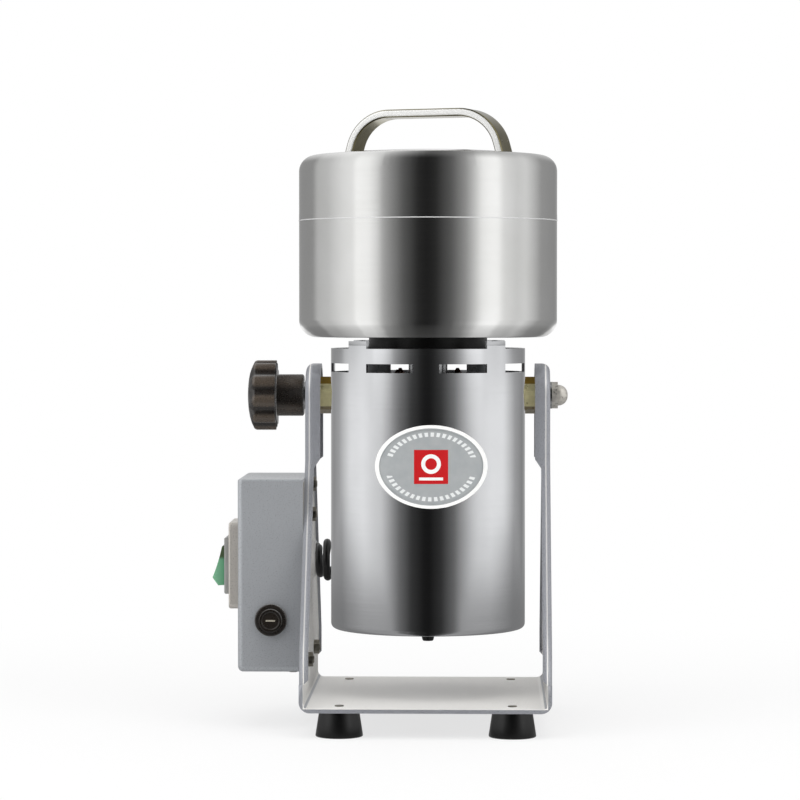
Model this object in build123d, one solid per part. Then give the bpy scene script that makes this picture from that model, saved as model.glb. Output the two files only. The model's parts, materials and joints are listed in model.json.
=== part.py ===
from build123d import *
import os
from math import cos, pi, radians, sin, sqrt

# Analytical lab mill: a motor head that carries a grinding bowl and tilts between the two arms
# of a folded stand. Millimetres, +Z up. X runs along the tilt axis and -Y is the front.
# Everything is worked out about the head's own axis (x = 0, y = 0) with the bench at z = 0, and
# moved sideways once at the end so that the origin is the middle of the whole mill's base.

# ---------------------------------------------------------------- driving dimensions: fits
FIT = 0.05            # radial clearance of pieces that are fixed in each other
RUNNING_FIT = 0.06    # radial clearance of a pin or shaft that turns in its hole
FACE_GAP = 0.1        # gap between faces that slide past each other
LOOSE_GAP = 0.5       # gap round moving pieces that never touch

# ---------------------------------------------------------------- stand
SHEET = 2.3                # folded steel of the stand
ARM_CLEARANCE = 11.7       # between the tube and the inner face of an arm
STAND_HALF_DEPTH = 78.3
BASE_BEND = 6.0            # outer radius of the fold between base and arm
PIVOT_Z = 185.6
ARM_TIP_RADIUS = 18.0      # round tip of an arm, and half its width at the waist
ARM_WAIST_Z = 150.0        # the arm flares out below this height
ARM_FLARE_Z = 46.0         # and has the stand's full depth below this one
UPPER_FLANGE = 8.6         # width of the rim that is folded inwards
LOWER_FLANGE = 5.2
FLANGE_STEP = 5.0          # height of the slope between the two rim widths
FLANGE_END_Z = 29.5
FLANGE_BEND = 4.4

FOOT_HEIGHT = 14.2
FOOT_TOP_RADIUS = 11.0
FOOT_BOTTOM_RADIUS = 13.2
FOOT_INSET_X = 21.5        # foot's centre from the arm's outer face
FOOT_INSET_Y = 14.0        # and from the front or back edge
FOOT_RECESS_RADIUS = 6.0
FOOT_RECESS_DEPTH = 7.0
FOOT_SCREW_RADIUS = 2.5
FOOT_SCREW_HEAD_RADIUS = 4.6
FOOT_SCREW_HEAD_HEIGHT = 3.0
FOOT_SCREW_TIP = 0.6       # how far the screw stands up through the base

# ---------------------------------------------------------------- control box, on the left arm
BOX_REACH = 36.4           # outer face of the arm to the far face of the box
BOX_HALF_DEPTH = 38.0
BOX_BOTTOM_Z = 32.1
BOX_HEIGHT = 107.5
BOX_WALL = 2.0
BOX_ROUND = 3.0
BOX_TOP_ROUND = 1.2
BACK_PLATE = 1.4
BACK_TAB_WIDTH = 10.0
BACK_TAB_INSET = 16.0      # tab's middle from the front or back of the box
COVER_SCREW_RADIUS = 1.5
COVER_SCREW_HEAD = 2.8
COVER_SCREW_HEAD_HEIGHT = 1.6
BOX_STUD_RADIUS = 2.0
BOX_NUT_FLATS = 7.0
BOX_NUT_HEIGHT = 3.2
BOX_STUD_TIP = 0.6
BOX_STUD_INSET = 6.8      # lower studs above the bottom of the box
BOX_STUD_INSET_Y = 4.4     # lower studs from the front or back of the box
TOP_STUD_INSET = 4.4      # upper stud below the top of the box
EARTH_STUD_DROP = 17.2    # earth stud below the upper stud

# Rocker switch
SWITCH_Z = 89.4
SWITCH_BOSS_Z = 90.0
SWITCH_BOSS_HEIGHT = 48.7
SWITCH_BOSS_DEPTH = 40.0
SWITCH_BOSS_REACH = 6.5
SWITCH_BOSS_ROUND = 3.0
BEZEL_HEIGHT = 31.8
BEZEL_DEPTH = 25.2
BEZEL_REACH = 3.1
SWITCH_BODY_HEIGHT = 27.8
SWITCH_BODY_DEPTH = 21.8
SWITCH_BODY_LENGTH = 21.0
SWITCH_BLADE_LENGTH = 8.0
SWITCH_BLADE_THICK = 0.8
SWITCH_BLADE_WIDTH = 6.2
ROCKER_HALF_HEIGHT = 12.5
ROCKER_HALF_WIDTH = 9.5
ROCKER_CREST = 4.4         # crest above the bezel, and its distance from the middle
ROCKER_CREST_Z = 9.2
ROCKER_DISH = 0.4
ROCKER_TILT = 17.0
ROCKER_PIN_RADIUS = 1.5
ROCKER_PIN_LENGTH = 1.3
ROCKER_PIN_DEPTH = 2.0     # pin axis behind the face of the bezel
ROCKER_ROOT = 7.0
ROCKER_ROOT_HALF = 5.0     # half the height of its inner end
ROCKER_WAIST = 1.5         # how much it narrows on the way there
ROCKER_CLEARANCE = 0.3     # round the rocker in its bezel

# Fuse holder, on the front of the box
FUSE_X_INSET = 18.6        # from the far face of the box
FUSE_Z = 61.2
FUSE_FLANGE_RADIUS = 8.95
FUSE_FLANGE = 2.5
FUSE_BODY_RADIUS = 6.2
FUSE_BODY_LENGTH = 30.0
FUSE_BORE_RADIUS = 5.2
FUSE_CAP_RADIUS = 6.4
FUSE_CAP_HEIGHT = 3.0
FUSE_SLOT_WIDTH = 1.2
FUSE_SLOT_DEPTH = 1.0
FUSE_SKIRT_LENGTH = 9.0
FUSE_LINK_RADIUS = 2.6
FUSE_LINK_LENGTH = 20.0
FUSE_END_LENGTH = 5.0
FUSE_GRIP = 5.0            # length of the link held in the cap

# Mains inlet, on the back of the box
INLET_X_INSET = 17.6
INLET_Z = 60.0
INLET_WIDTH = 27.0
INLET_HEIGHT = 19.6
INLET_FLANGE = 2.4
INLET_FLANGE_RIM = 2.6
INLET_BODY_LENGTH = 18.0
INLET_WALL = 1.5
INLET_CORNER = 4.5
PIN_SPACING = 14.0
PIN_WIDTH = 2.0
PIN_HEIGHT = 4.0
PIN_RECESS = 3.0
EARTH_PIN_RISE = 4.0
PIN_TAIL = 8.0

# Motor lead, between the left arm and the head
LEAD_Y = 12.0
LEAD_Z = 92.0
LEAD_RADIUS = 2.1
LEAD_COIL_RADIUS = 10.0
LEAD_TAIL = 8.0
LEAD_END_DROP = 6.0        # end of the lead below the middle of its coil
LEAD_COLLAR_RADIUS = 12.0  # pressed collar of the arm round the grommet
LEAD_COLLAR_HEIGHT = 2.5
LEAD_COLLAR_SLOPE = 2.0
GROMMET_NECK_RADIUS = 6.0
GROMMET_RADIUS = 8.8
GROMMET_HEIGHT = 2.2
BUSH_RADIUS = 4.5
BUSH_STAND = 0.2           # how far the bush stands out past the tube

# ---------------------------------------------------------------- head
TUBE_RADIUS = 55.0
TUBE_WALL = 1.5
TUBE_BOTTOM_Z = 53.6
TUBE_BOTTOM_ROUND = 3.0
RIM_Z = 212.3
TAB_HEIGHT = 4.2
TAB_ANGLE = 15.0           # width of a rim tab, and of the bars between the slots
SLOT_Z = 199.0
SLOT_HEIGHT = 4.9
SLOT_COUNT = 8
FLOOR_SLOTS = 12
FLOOR_SLOT_INNER = 18.0
FLOOR_SLOT_OUTER = 44.0
FLOOR_SLOT_WIDTH = 4.5
PLUG_RADIUS = 4.6
PLUG_TIP_RADIUS = 2.55
PLUG_DROP = 5.7
PLUG_STEM_RADIUS = 3.0

BADGE_HALF_WIDTH = 31.1
BADGE_HALF_HEIGHT = 23.0
BADGE_Z = 147.5
BADGE_X = 2.7
BADGE_THICK = 0.8
BADGE_RIM = 2.4
BADGE_RIM_RISE = 0.4

# Pivots of the head
BOSS_FLATS = 19.0
BOSS_TURN = 16.0
BOSS_SPIGOT_RADIUS = 6.0
BOSS_SPIGOT_LENGTH = 7.0   # inwards from the outside of the tube
BOSS_NUT_FLATS = 17.0
BOSS_NUT_HEIGHT = 3.6
STUD_RADIUS = 4.0
STUD_PITCH = 1.25
STUD_HOLE_FLOOR = 1.5      # metal left in the boss behind the stud
PIVOT_WASHER_RADIUS = 7.6
PIVOT_WASHER = 1.0
ACORN_FLATS = 13.0
ACORN_HEX_HEIGHT = 3.4
ACORN_DOME_HEIGHT = 5.6
ACORN_DOME_RADIUS = 5.9

KNOB_WASHER_RADIUS = 8.0
KNOB_WASHER = 1.2
KNOB_HUB_RADIUS = 11.8
KNOB_HUB_LENGTH = 15.7
KNOB_HEAD = 11.6
KNOB_DOME = 4.6
KNOB_DOME_MID_RADIUS = 0.52   # a point halfway up the dome, as shares of the knob's radius
KNOB_DOME_MID_HEIGHT = 0.76   # and of the dome's height
KNOB_RADIUS = 19.8
KNOB_LOBES = 8
KNOB_LOBE_RADIUS = 6.4
KNOB_EDGE = 1.2
KNOB_STUD_EMBED = 22.0

# Motor
SHIELD_THICK = 7.9
SHIELD_LIP = 1.2
SHIELD_LIP_RADIUS = 9.0
LEG_INSET = 13.0           # middle of a leg from the outside of the tube
LEG_RADIAL = 7.5
LEG_WIDTH = 14.0
UPPER_BEARING_OUTER = 13.0
UPPER_BEARING_BORE = 5.0
UPPER_BEARING_WIDTH = 8.0
LOWER_BEARING_OUTER = 11.0
LOWER_BEARING_BORE = 4.0
LOWER_BEARING_WIDTH = 7.0
LOWER_SHIELD_Z = 65.0
LOWER_SHIELD_THICK = 7.0
LOWER_HUB_RADIUS = 15.0
MOTOR_BOLT_RADIUS = 2.5
MOTOR_BOLT_HEAD_RADIUS = 4.4
MOTOR_BOLT_HEAD = 3.0
STATOR_Z = 104.0
STATOR_HEIGHT = 56.0
STATOR_INSET = 9.0         # stator's edge from the outside of the tube
COIL_INSET = 9.0           # outside of a coil from the stator's edge
COIL_DEPTH = 10.0
POLE_DEPTH = 1.0           # iron between the coil and the bore
COIL_UPPER_RISE = 12.0
COIL_LOWER_DROP = 8.0
COIL_SIDE_ANGLE = 27.0
COIL_GAP_ANGLE = 2.0
COIL_CLEARANCE = 0.2
TERMINAL_X = 16.5
TERMINAL_RADIUS = 2.4
TERMINAL_TOP_Z = 200.6
TERMINAL_TIP = 3.0
AIR_GAP = 0.8
ARMATURE_INSET = 2.0
ARMATURE_SLOTS = 12
ARMATURE_SLOT_WIDTH = 3.2
ARMATURE_SLOT_DEPTH = 11.0
WINDING_INSET = 3.7        # end turns narrower than the armature, on the radius
WINDING_UPPER = 10.0
WINDING_LOWER = 7.0
SHAFT_RADIUS = 6.0
COMMUTATOR_RADIUS = 14.0
COMMUTATOR_Z = 80.0
COMMUTATOR_HEIGHT = 12.0
COMMUTATOR_GROOVE = 0.6
COMMUTATOR_GROOVE_DEPTH = 1.0
BRUSH_PLATE = 3.0
BRUSH_PLATE_INNER = 17.5
BRUSH_PLATE_CLEARANCE = 2.25   # between the plate's edge and the legs
BRUSH_WIDTH = 6.0
BRUSH_HEIGHT = 8.0
BRUSH_LENGTH = 11.0
BRUSH_GAP = 0.3
BRUSH_BOX_WALL = 2.0
BRUSH_BOX_LENGTH = 19.0
BRUSH_BOX_INNER = 15.5
BRUSH_SPRING_RADIUS = 2.4
BRUSH_SPRING_LENGTH = 6.6
FAN_Z = 57.2
FAN_RADIUS = 42.0
FAN_DISC = 1.5
FAN_HEIGHT = 6.3
FAN_HUB_RADIUS = 8.0
FAN_BLADES = 12
FAN_BLADE_THICK = 1.2
SLEEVE_RADIUS = 11.0
SLEEVE_HEIGHT = 14.0

# Bowl
COLLAR_RADIUS = 33.5
BOWL_Z = 218.5
BOWL_RADIUS = 73.0
BOWL_WALL = 2.0
BOWL_ROUND = 9.5
SEAM_Z = 287.1
NECK_STEP = 3.6            # neck narrower than the bowl, on the radius
NECK_WALL = 1.6
NECK_HEIGHT = 10.4
LUG_COUNT = 3
LUG_ANGLE = 24.0
LUG_HEIGHT = 2.5
LUG_REACH = 1.8
LUG_TOP_INSET = 3.0
LID_UNLOCK_ANGLE = 36.0    # lid lugs stand this far from the neck lugs when unlocked
SEAL_RADIUS = 9.0
BOWL_SCREW_CIRCLE = 24.0
BOWL_SCREW_RADIUS = 2.5
BOWL_SCREW_HEAD_RADIUS = 4.5
BOWL_SCREW_HEAD = 3.0
BOWL_SCREW_LENGTH = 13.0
BUSH_FLANGE_RADIUS = 16.0
BUSH_FLANGE = 2.0
BOWL_BUSH_RADIUS = 11.0
BOWL_BUSH_HEIGHT = 6.5

# Blades
BLADE_SPACER_RADIUS = 8.0
BLADE_SPACER_HEIGHT = 3.0
BLADE_THICK = 2.0
BLADE_WIDTH = 16.0
BLADE_REACH = 59.0
BLADE_FLAT = 27.0
LOWER_BLADE_DROP = 5.5
UPPER_BLADE_RISE = 9.0
BLADE_TURN = 30.0
BLADE_SLANT = 9.0          # angle of a cutting edge to the blade
BLADE_NUT_FLATS = 13.0
BLADE_NUT_HEIGHT = 6.5
BLADE_STUD_RADIUS = 4.0
BLADE_STUD_TIP = 2.0

# Lid
LID_TOP_Z = 321.0
LID_CROWN = 3.2
LID_WALL = 1.4
LID_ROUND = 9.0
SEAL_THICK = 2.4
SEAL_WIDTH = 4.0
PLATE_THICK = 1.5
PLATE_CLEARANCE = 1.0      # between the plate's edge and the lid's wall
LID_PIN_RADIUS = 4.0
LID_HUB_RADIUS = 8.0
LID_HUB_HEIGHT = 12.0
LID_PIN_RING_RADIUS = 6.6
LID_PIN_RING = 1.0
LID_PIN_RIVET_RADIUS = 6.3
LID_PIN_RIVET = 2.3
HANDLE_TOP_Z = 347.2
HANDLE_THICK = 4.6
HANDLE_WIDTH = 18.0
HANDLE_HALF_TOP = 39.1     # middle to the corner of the handle's centre line
HANDLE_HALF_FOOT = 45.9
HANDLE_BEND = 23.7
HANDLE_TURN = -20.0
HANDLE_EDGE = 1.5
HANDLE_SCREW_RADIUS = 1.5
HANDLE_SCREW_SPACING = 9.0
HANDLE_SCREW_HEAD_RADIUS = 2.7
HANDLE_SCREW_HEAD = 1.8
HANDLE_SCREW_DEPTH = 8.0

# ---------------------------------------------------------------- places that follow from them
BASE_TOP_Z = FOOT_HEIGHT + SHEET
ARM_INNER = TUBE_RADIUS + ARM_CLEARANCE
STAND_HALF_WIDTH = ARM_INNER + SHEET
FOOT_X = STAND_HALF_WIDTH - FOOT_INSET_X
FOOT_Y = STAND_HALF_DEPTH - FOOT_INSET_Y
BACK_TAB_Y = BOX_HALF_DEPTH - BACK_TAB_INSET
BOX_STUD_Y = BOX_HALF_DEPTH - BOX_STUD_INSET_Y
BOX_FAR_X = -STAND_HALF_WIDTH - BOX_REACH
BOX_TOP_Z = BOX_BOTTOM_Z + BOX_HEIGHT
BOX_STUD_Z = BOX_BOTTOM_Z + BOX_STUD_INSET
FUSE_X = BOX_FAR_X + FUSE_X_INSET
INLET_X = BOX_FAR_X + INLET_X_INSET
BACK_X = -STAND_HALF_WIDTH - BACK_PLATE
COVER_SCREW_X = BACK_X - BACK_TAB_WIDTH / 2
LEAD_FLANGE_X = LEAD_COLLAR_HEIGHT - ARM_INNER
LEAD_COIL_X = LEAD_FLANGE_X + GROMMET_HEIGHT
BUSH_FACE_X = -TUBE_RADIUS - BUSH_STAND
TOP_STUD_Z = BOX_TOP_Z - TOP_STUD_INSET
BOSS_TURN_CLEAR = ARM_INNER - FACE_GAP
STUD_END_X = TUBE_RADIUS - BOSS_SPIGOT_LENGTH + STUD_HOLE_FLOOR + 4 * STUD_PITCH
BOSS_FACE_X = SWITCH_BOSS_REACH - BOX_FAR_X
BEZEL_FACE_X = BOSS_FACE_X + BEZEL_REACH
ROCKER_AXIS_X = ROCKER_PIN_DEPTH - BEZEL_FACE_X
TUBE_INNER = TUBE_RADIUS - TUBE_WALL
LEG_RADIUS = TUBE_RADIUS - LEG_INSET
STATOR_RADIUS = TUBE_RADIUS - STATOR_INSET
COIL_OUTER = STATOR_RADIUS - COIL_INSET
COIL_INNER = COIL_OUTER - COIL_DEPTH
STATOR_BORE = COIL_INNER - POLE_DEPTH
BRUSH_PLATE_OUTER = LEG_RADIUS - LEG_RADIAL / 2 - BRUSH_PLATE_CLEARANCE
SHIELD_Z = RIM_Z - SHIELD_THICK
SHIELD_RADIUS = TUBE_INNER - FIT
BEARING_Z = SHIELD_Z + SHIELD_LIP
SLEEVE_Z = SHIELD_Z - LOOSE_GAP - SLEEVE_HEIGHT
BRUSH_PLATE_Z = LOWER_SHIELD_Z + LOWER_SHIELD_THICK
STATOR_TOP_Z = STATOR_Z + STATOR_HEIGHT
LOWER_BEARING_Z = LOWER_SHIELD_Z + LOWER_SHIELD_THICK - LOWER_BEARING_WIDTH + SHIELD_LIP
ARMATURE_RADIUS = STATOR_BORE - AIR_GAP
WINDING_RADIUS = ARMATURE_RADIUS - WINDING_INSET
BRUSH_Z = COMMUTATOR_Z + (COMMUTATOR_HEIGHT - BRUSH_HEIGHT) / 2
BOWL_FLOOR_Z = BOWL_Z + BOWL_WALL
BOWL_SCREW_END_Z = BOWL_FLOOR_Z - BOWL_SCREW_LENGTH
BOWL_INNER = BOWL_RADIUS - BOWL_WALL
NECK_RADIUS = BOWL_RADIUS - NECK_STEP
BLADE_Z = BOWL_FLOOR_Z + BOWL_BUSH_HEIGHT + LOOSE_GAP
LOWER_BLADE_Z = BLADE_Z + BLADE_SPACER_HEIGHT
UPPER_BLADE_Z = LOWER_BLADE_Z + BLADE_THICK
BLADE_NUT_Z = UPPER_BLADE_Z + BLADE_THICK
SHAFT_TIP_Z = BLADE_NUT_Z + BLADE_NUT_HEIGHT + BLADE_STUD_TIP
SHOULDER_Z = SEAM_Z - FACE_GAP
NECK_TOP_Z = SHOULDER_Z + NECK_HEIGHT
NECK_LUG_Z = NECK_TOP_Z - LUG_TOP_INSET - LUG_HEIGHT
LID_LUG_Z = NECK_LUG_Z - LOOSE_GAP - LUG_HEIGHT
LID_INNER = BOWL_RADIUS - LID_WALL
PLATE_RADIUS = LID_INNER - PLATE_CLEARANCE
PLATE_Z = NECK_TOP_Z + FACE_GAP + SEAL_THICK
LID_HUB_Z = LID_TOP_Z - LID_HUB_HEIGHT
HANDLE_LINE_Z = HANDLE_TOP_Z - HANDLE_THICK / 2
HANDLE_SLOPE = (HANDLE_HALF_FOOT - HANDLE_HALF_TOP) / (HANDLE_LINE_Z - LID_TOP_Z)
HANDLE_FOOT = HANDLE_HALF_FOOT - HANDLE_SLOPE * HANDLE_SCREW_DEPTH / 2
KNOB_HUB_X = STAND_HALF_WIDTH + FACE_GAP + KNOB_WASHER
KNOB_HEAD_X = KNOB_HUB_X + KNOB_HUB_LENGTH
ACORN_X = STAND_HALF_WIDTH + FACE_GAP + PIVOT_WASHER
ACORN_TIP_X = ACORN_X + ACORN_HEX_HEIGHT + ACORN_DOME_HEIGHT


# ---------------------------------------------------------------- plain shapes
def block(x, y, z):
    """A box between two values along each axis."""
    size = (x[1] - x[0], y[1] - y[0], z[1] - z[0])
    middle = ((x[0] + x[1]) / 2, (y[0] + y[1]) / 2, (z[0] + z[1]) / 2)
    return Pos(*middle) * Box(*size)


def post(radius, z, x=0, y=0):
    """An upright cylinder between two heights."""
    return Pos(x, y, (z[0] + z[1]) / 2) * Cylinder(radius, z[1] - z[0])


def ring(outer, inner, z):
    return post(outer, z) - post(inner, z)


def bar_x(radius, x, y=0, z=PIVOT_Z):
    """A cylinder along X between two values of x."""
    return Pos((x[0] + x[1]) / 2, y, z) * Rot(0, 90, 0) * Cylinder(radius, x[1] - x[0])


def bar_y(radius, y, x, z):
    return Pos(x, (y[0] + y[1]) / 2, z) * Rot(90, 0, 0) * Cylinder(radius, y[1] - y[0])


def hexagon(flats, height):
    """An upright hexagonal prism on the origin."""
    return extrude(RegularPolygon(flats / 2, 6, major_radius=False), height)


def hex_x(flats, x, y=0, z=PIVOT_Z, turn=0):
    """A hexagonal prism along X between two values of x."""
    return Pos(x[0], y, z) * Rot(0, 90, 0) * Rot(0, 0, turn) * hexagon(flats, x[1] - x[0])


def turned(*points):
    """A solid of revolution about Z from the corners (radius, z) of its half section."""
    return revolve(Plane.XZ * make_face(Polyline(*points, close=True)), Axis.Z)


def sector(outer, inner, z, start, sweep):
    """A slice of an upright ring, from one angle over a number of degrees, along Z."""
    pie = revolve(Plane.XZ * make_face(Polyline(
        (inner, z[0]), (outer, z[0]), (outer, z[1]), (inner, z[1]), close=True)),
        Axis.Z, revolution_arc=sweep)
    return Rot(0, 0, start) * pie


def around(count, piece, start=0.0):
    """Copies of a piece spaced evenly about Z."""
    return [Rot(0, 0, start + i * 360 / count) * piece for i in range(count)]


def group(pieces):
    return Compound(list(pieces))


def four(radius_x, radius_y, piece):
    """Copies of a piece at the four corners of a rectangle."""
    return [Pos(sx * radius_x, sy * radius_y, 0) * piece for sx in (-1, 1) for sy in (-1, 1)]


# ---------------------------------------------------------------- stand
def arm_outline(inset, bottom):
    """The side view of an arm as a face in the YZ plane, drawn in by an inset."""
    half_depth = STAND_HALF_DEPTH - inset
    half_tip = ARM_TIP_RADIUS - inset
    with BuildSketch(Plane.YZ) as sketch:
        with BuildLine():
            Polyline((half_tip, PIVOT_Z), (half_tip, ARM_WAIST_Z), (half_depth, ARM_FLARE_Z),
                     (half_depth, bottom), (-half_depth, bottom), (-half_depth, ARM_FLARE_Z),
                     (-half_tip, ARM_WAIST_Z), (-half_tip, PIVOT_Z))
            RadiusArc((-half_tip, PIVOT_Z), (half_tip, PIVOT_Z), half_tip)
        make_face()
    return sketch.sketch


def rounded_tray(inset, depth, bend, bottom):
    """The arm's outline thickened inwards from its outer face, with that face's edge rounded."""
    tray = extrude(arm_outline(inset, bottom), depth)
    outer_edges = tray.edges().group_by(Axis.X)[0]
    outer_edges = outer_edges.filter_by(lambda edge: edge.center().Z > bottom + bend)
    return fillet(outer_edges, bend)


def arm():
    """The left arm with its outer face at x = 0: a plate with a rim folded inwards, towards +X."""
    tray = rounded_tray(0, UPPER_FLANGE, FLANGE_BEND, FLANGE_END_Z)
    pocket = Pos(SHEET, 0, 0) * rounded_tray(SHEET, UPPER_FLANGE, FLANGE_BEND - SHEET, FLANGE_END_Z)
    below = Pos(SHEET, 0, 0) * block((0, UPPER_FLANGE), (-STAND_HALF_DEPTH + SHEET,
                                     STAND_HALF_DEPTH - SHEET), (0, FLANGE_END_Z + FLANGE_BEND))
    tip_z = FLANGE_END_Z + LOWER_FLANGE - SHEET
    trim = Polyline((SHEET, FLANGE_END_Z), (LOWER_FLANGE, tip_z),
                    (LOWER_FLANGE, ARM_WAIST_Z - FLANGE_STEP), (UPPER_FLANGE, ARM_WAIST_Z),
                    (2 * UPPER_FLANGE, ARM_WAIST_Z), (2 * UPPER_FLANGE, 0), (SHEET, 0), close=True)
    cutter = extrude(Plane.XZ * make_face(trim), STAND_HALF_DEPTH + 1, both=True)
    return tray - pocket - below - cutter


def bracket():
    """The stand: base and arms folded from one sheet."""
    left = Pos(-STAND_HALF_WIDTH, 0, 0) * arm()
    right = mirror(left, Plane.YZ)
    outside = block((-STAND_HALF_WIDTH, STAND_HALF_WIDTH), (-STAND_HALF_DEPTH, STAND_HALF_DEPTH),
                    (FOOT_HEIGHT, ARM_FLARE_Z))
    inside = block((-ARM_INNER, ARM_INNER), (-STAND_HALF_DEPTH - 1, STAND_HALF_DEPTH + 1),
                   (BASE_TOP_Z, ARM_FLARE_Z + 1))
    outside = fillet(outside.edges().filter_by(Axis.Y).group_by(Axis.Z)[0], BASE_BEND)
    inside = fillet(inside.edges().filter_by(Axis.Y).group_by(Axis.Z)[0], BASE_BEND - SHEET)
    channel = outside - inside
    channel -= block((-STAND_HALF_WIDTH - 1, STAND_HALF_WIDTH + 1),
                     (-STAND_HALF_DEPTH - 1, STAND_HALF_DEPTH + 1), (FLANGE_END_Z, ARM_FLARE_Z + 1))
    body = channel + left + right
    collar = bar_x(LEAD_COLLAR_RADIUS, (-ARM_INNER, LEAD_COLLAR_HEIGHT - ARM_INNER), LEAD_Y, LEAD_Z)
    top_edge = collar.edges().group_by(Axis.X)[-1]
    body += chamfer(top_edge, LEAD_COLLAR_HEIGHT - FIT, LEAD_COLLAR_SLOPE)
    for hole in four(FOOT_X, FOOT_Y, post(FOOT_SCREW_RADIUS + FIT, (0, 2 * BASE_TOP_Z))):
        body -= hole
    body -= bar_x(STUD_RADIUS + RUNNING_FIT, (-2 * STAND_HALF_WIDTH, 2 * STAND_HALF_WIDTH))
    body -= bar_x(GROMMET_NECK_RADIUS + FIT, (-2 * STAND_HALF_WIDTH, 0), LEAD_Y, LEAD_Z)
    for y, z in box_stud_places():
        body -= bar_x(BOX_STUD_RADIUS + FIT, (-2 * STAND_HALF_WIDTH, 0), y, z)
    return body


def box_stud_places():
    """Studs that go through the left arm: one at the top of the box, the earth stud, two low."""
    return [(0, TOP_STUD_Z), (0, TOP_STUD_Z - EARTH_STUD_DROP),
            (-BOX_STUD_Y, BOX_STUD_Z), (BOX_STUD_Y, BOX_STUD_Z)]


def rubber_feet():
    foot = turned((FOOT_SCREW_RADIUS + FIT, FOOT_RECESS_DEPTH), (FOOT_RECESS_RADIUS, FOOT_RECESS_DEPTH),
                  (FOOT_RECESS_RADIUS, 0), (FOOT_BOTTOM_RADIUS, 0), (FOOT_TOP_RADIUS, FOOT_HEIGHT),
                  (FOOT_SCREW_RADIUS + FIT, FOOT_HEIGHT))
    return group(four(FOOT_X, FOOT_Y, foot))


def foot_screws():
    head_z = FOOT_RECESS_DEPTH - FOOT_SCREW_HEAD_HEIGHT
    head = post(FOOT_SCREW_HEAD_RADIUS, (head_z, FOOT_RECESS_DEPTH))
    head = fillet(head.edges().group_by(Axis.Z)[0], FOOT_SCREW_HEAD_HEIGHT / 3)
    screw = head + post(FOOT_SCREW_RADIUS, (head_z + 1, BASE_TOP_Z + FOOT_SCREW_TIP))
    screw = chamfer(screw.edges().group_by(Axis.Z)[-1], FOOT_SCREW_TIP / 4)
    return group(four(FOOT_X, FOOT_Y, screw))


# ---------------------------------------------------------------- control box
def control_box():
    """The painted cover on the left arm, open towards the arm."""
    shell = block((BOX_FAR_X, -STAND_HALF_WIDTH), (-BOX_HALF_DEPTH, BOX_HALF_DEPTH),
                  (BOX_BOTTOM_Z, BOX_TOP_Z))
    upright = shell.edges().filter_by(Axis.Z).group_by(Axis.X)[0]
    low = shell.edges().group_by(Axis.Z)[0].filter_by(lambda e: e.center().X < -STAND_HALF_WIDTH - 1)
    shell = fillet(upright + low, BOX_ROUND)
    top = shell.edges().group_by(Axis.Z)[-1].filter_by(lambda e: e.center().X < -STAND_HALF_WIDTH - 1)
    shell = fillet(top, BOX_TOP_ROUND)
    shell -= block((BOX_FAR_X + BOX_WALL, 0), (BOX_WALL - BOX_HALF_DEPTH, BOX_HALF_DEPTH - BOX_WALL),
                   (BOX_BOTTOM_Z + BOX_WALL, BOX_TOP_Z - BOX_WALL))
    shell -= block((2 * BOX_FAR_X, BOX_FAR_X + 2 * BOX_WALL),
                   (-SWITCH_BODY_DEPTH / 2 - FIT, SWITCH_BODY_DEPTH / 2 + FIT), switch_z(FIT))
    shell -= bar_y(FUSE_BODY_RADIUS + FIT, (-2 * BOX_HALF_DEPTH, 0), FUSE_X, FUSE_Z)
    shell -= block((INLET_X - INLET_WIDTH / 2 - FIT, INLET_X + INLET_WIDTH / 2 + FIT),
                   (0, 2 * BOX_HALF_DEPTH), inlet_z(FIT))
    for y in (-BACK_TAB_Y, BACK_TAB_Y):
        shell -= post(COVER_SCREW_RADIUS + FIT, (0, BOX_BOTTOM_Z + 2 * BOX_WALL), COVER_SCREW_X, y)
    return shell


def switch_z(clearance):
    half = SWITCH_BODY_HEIGHT / 2 + clearance
    return SWITCH_Z - half, SWITCH_Z + half


def inlet_z(clearance):
    half = INLET_HEIGHT / 2 + clearance
    return INLET_Z - half, INLET_Z + half


def box_back_plate():
    """The plate that the cover slips over, bolted to the arm, with two tabs for the cover's screws."""
    half_depth = BOX_HALF_DEPTH - BOX_WALL - FIT
    floor_z = BOX_BOTTOM_Z + BOX_WALL + FIT
    plate = block((BACK_X, -STAND_HALF_WIDTH), (-half_depth, half_depth),
                  (floor_z, BOX_TOP_Z - BOX_WALL - FIT))
    for y in (-BACK_TAB_Y, BACK_TAB_Y):
        plate += block((BACK_X - BACK_TAB_WIDTH, BACK_X),
                       (y - BACK_TAB_WIDTH / 2, y + BACK_TAB_WIDTH / 2), (floor_z, floor_z + BACK_PLATE))
        plate -= post(COVER_SCREW_RADIUS + FIT, (0, floor_z + 2 * BACK_PLATE), COVER_SCREW_X, y)
    for y, z in box_stud_places():
        plate -= bar_x(BOX_STUD_RADIUS + FIT, (2 * BACK_X, 0), y, z)
    return plate - bar_x(GROMMET_NECK_RADIUS + FIT, (2 * BACK_X, 0), LEAD_Y, LEAD_Z)


def cover_screws():
    head = post(COVER_SCREW_HEAD, (BOX_BOTTOM_Z - COVER_SCREW_HEAD_HEIGHT, BOX_BOTTOM_Z))
    head = fillet(head.edges().group_by(Axis.Z)[0], COVER_SCREW_HEAD_HEIGHT / 2)
    shank_top = BOX_BOTTOM_Z + BOX_WALL + 3 * BACK_PLATE
    screw = head + post(COVER_SCREW_RADIUS, (BOX_BOTTOM_Z - FIT, shank_top))
    return group(Pos(COVER_SCREW_X, y, 0) * screw for y in (-BACK_TAB_Y, BACK_TAB_Y))


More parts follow.
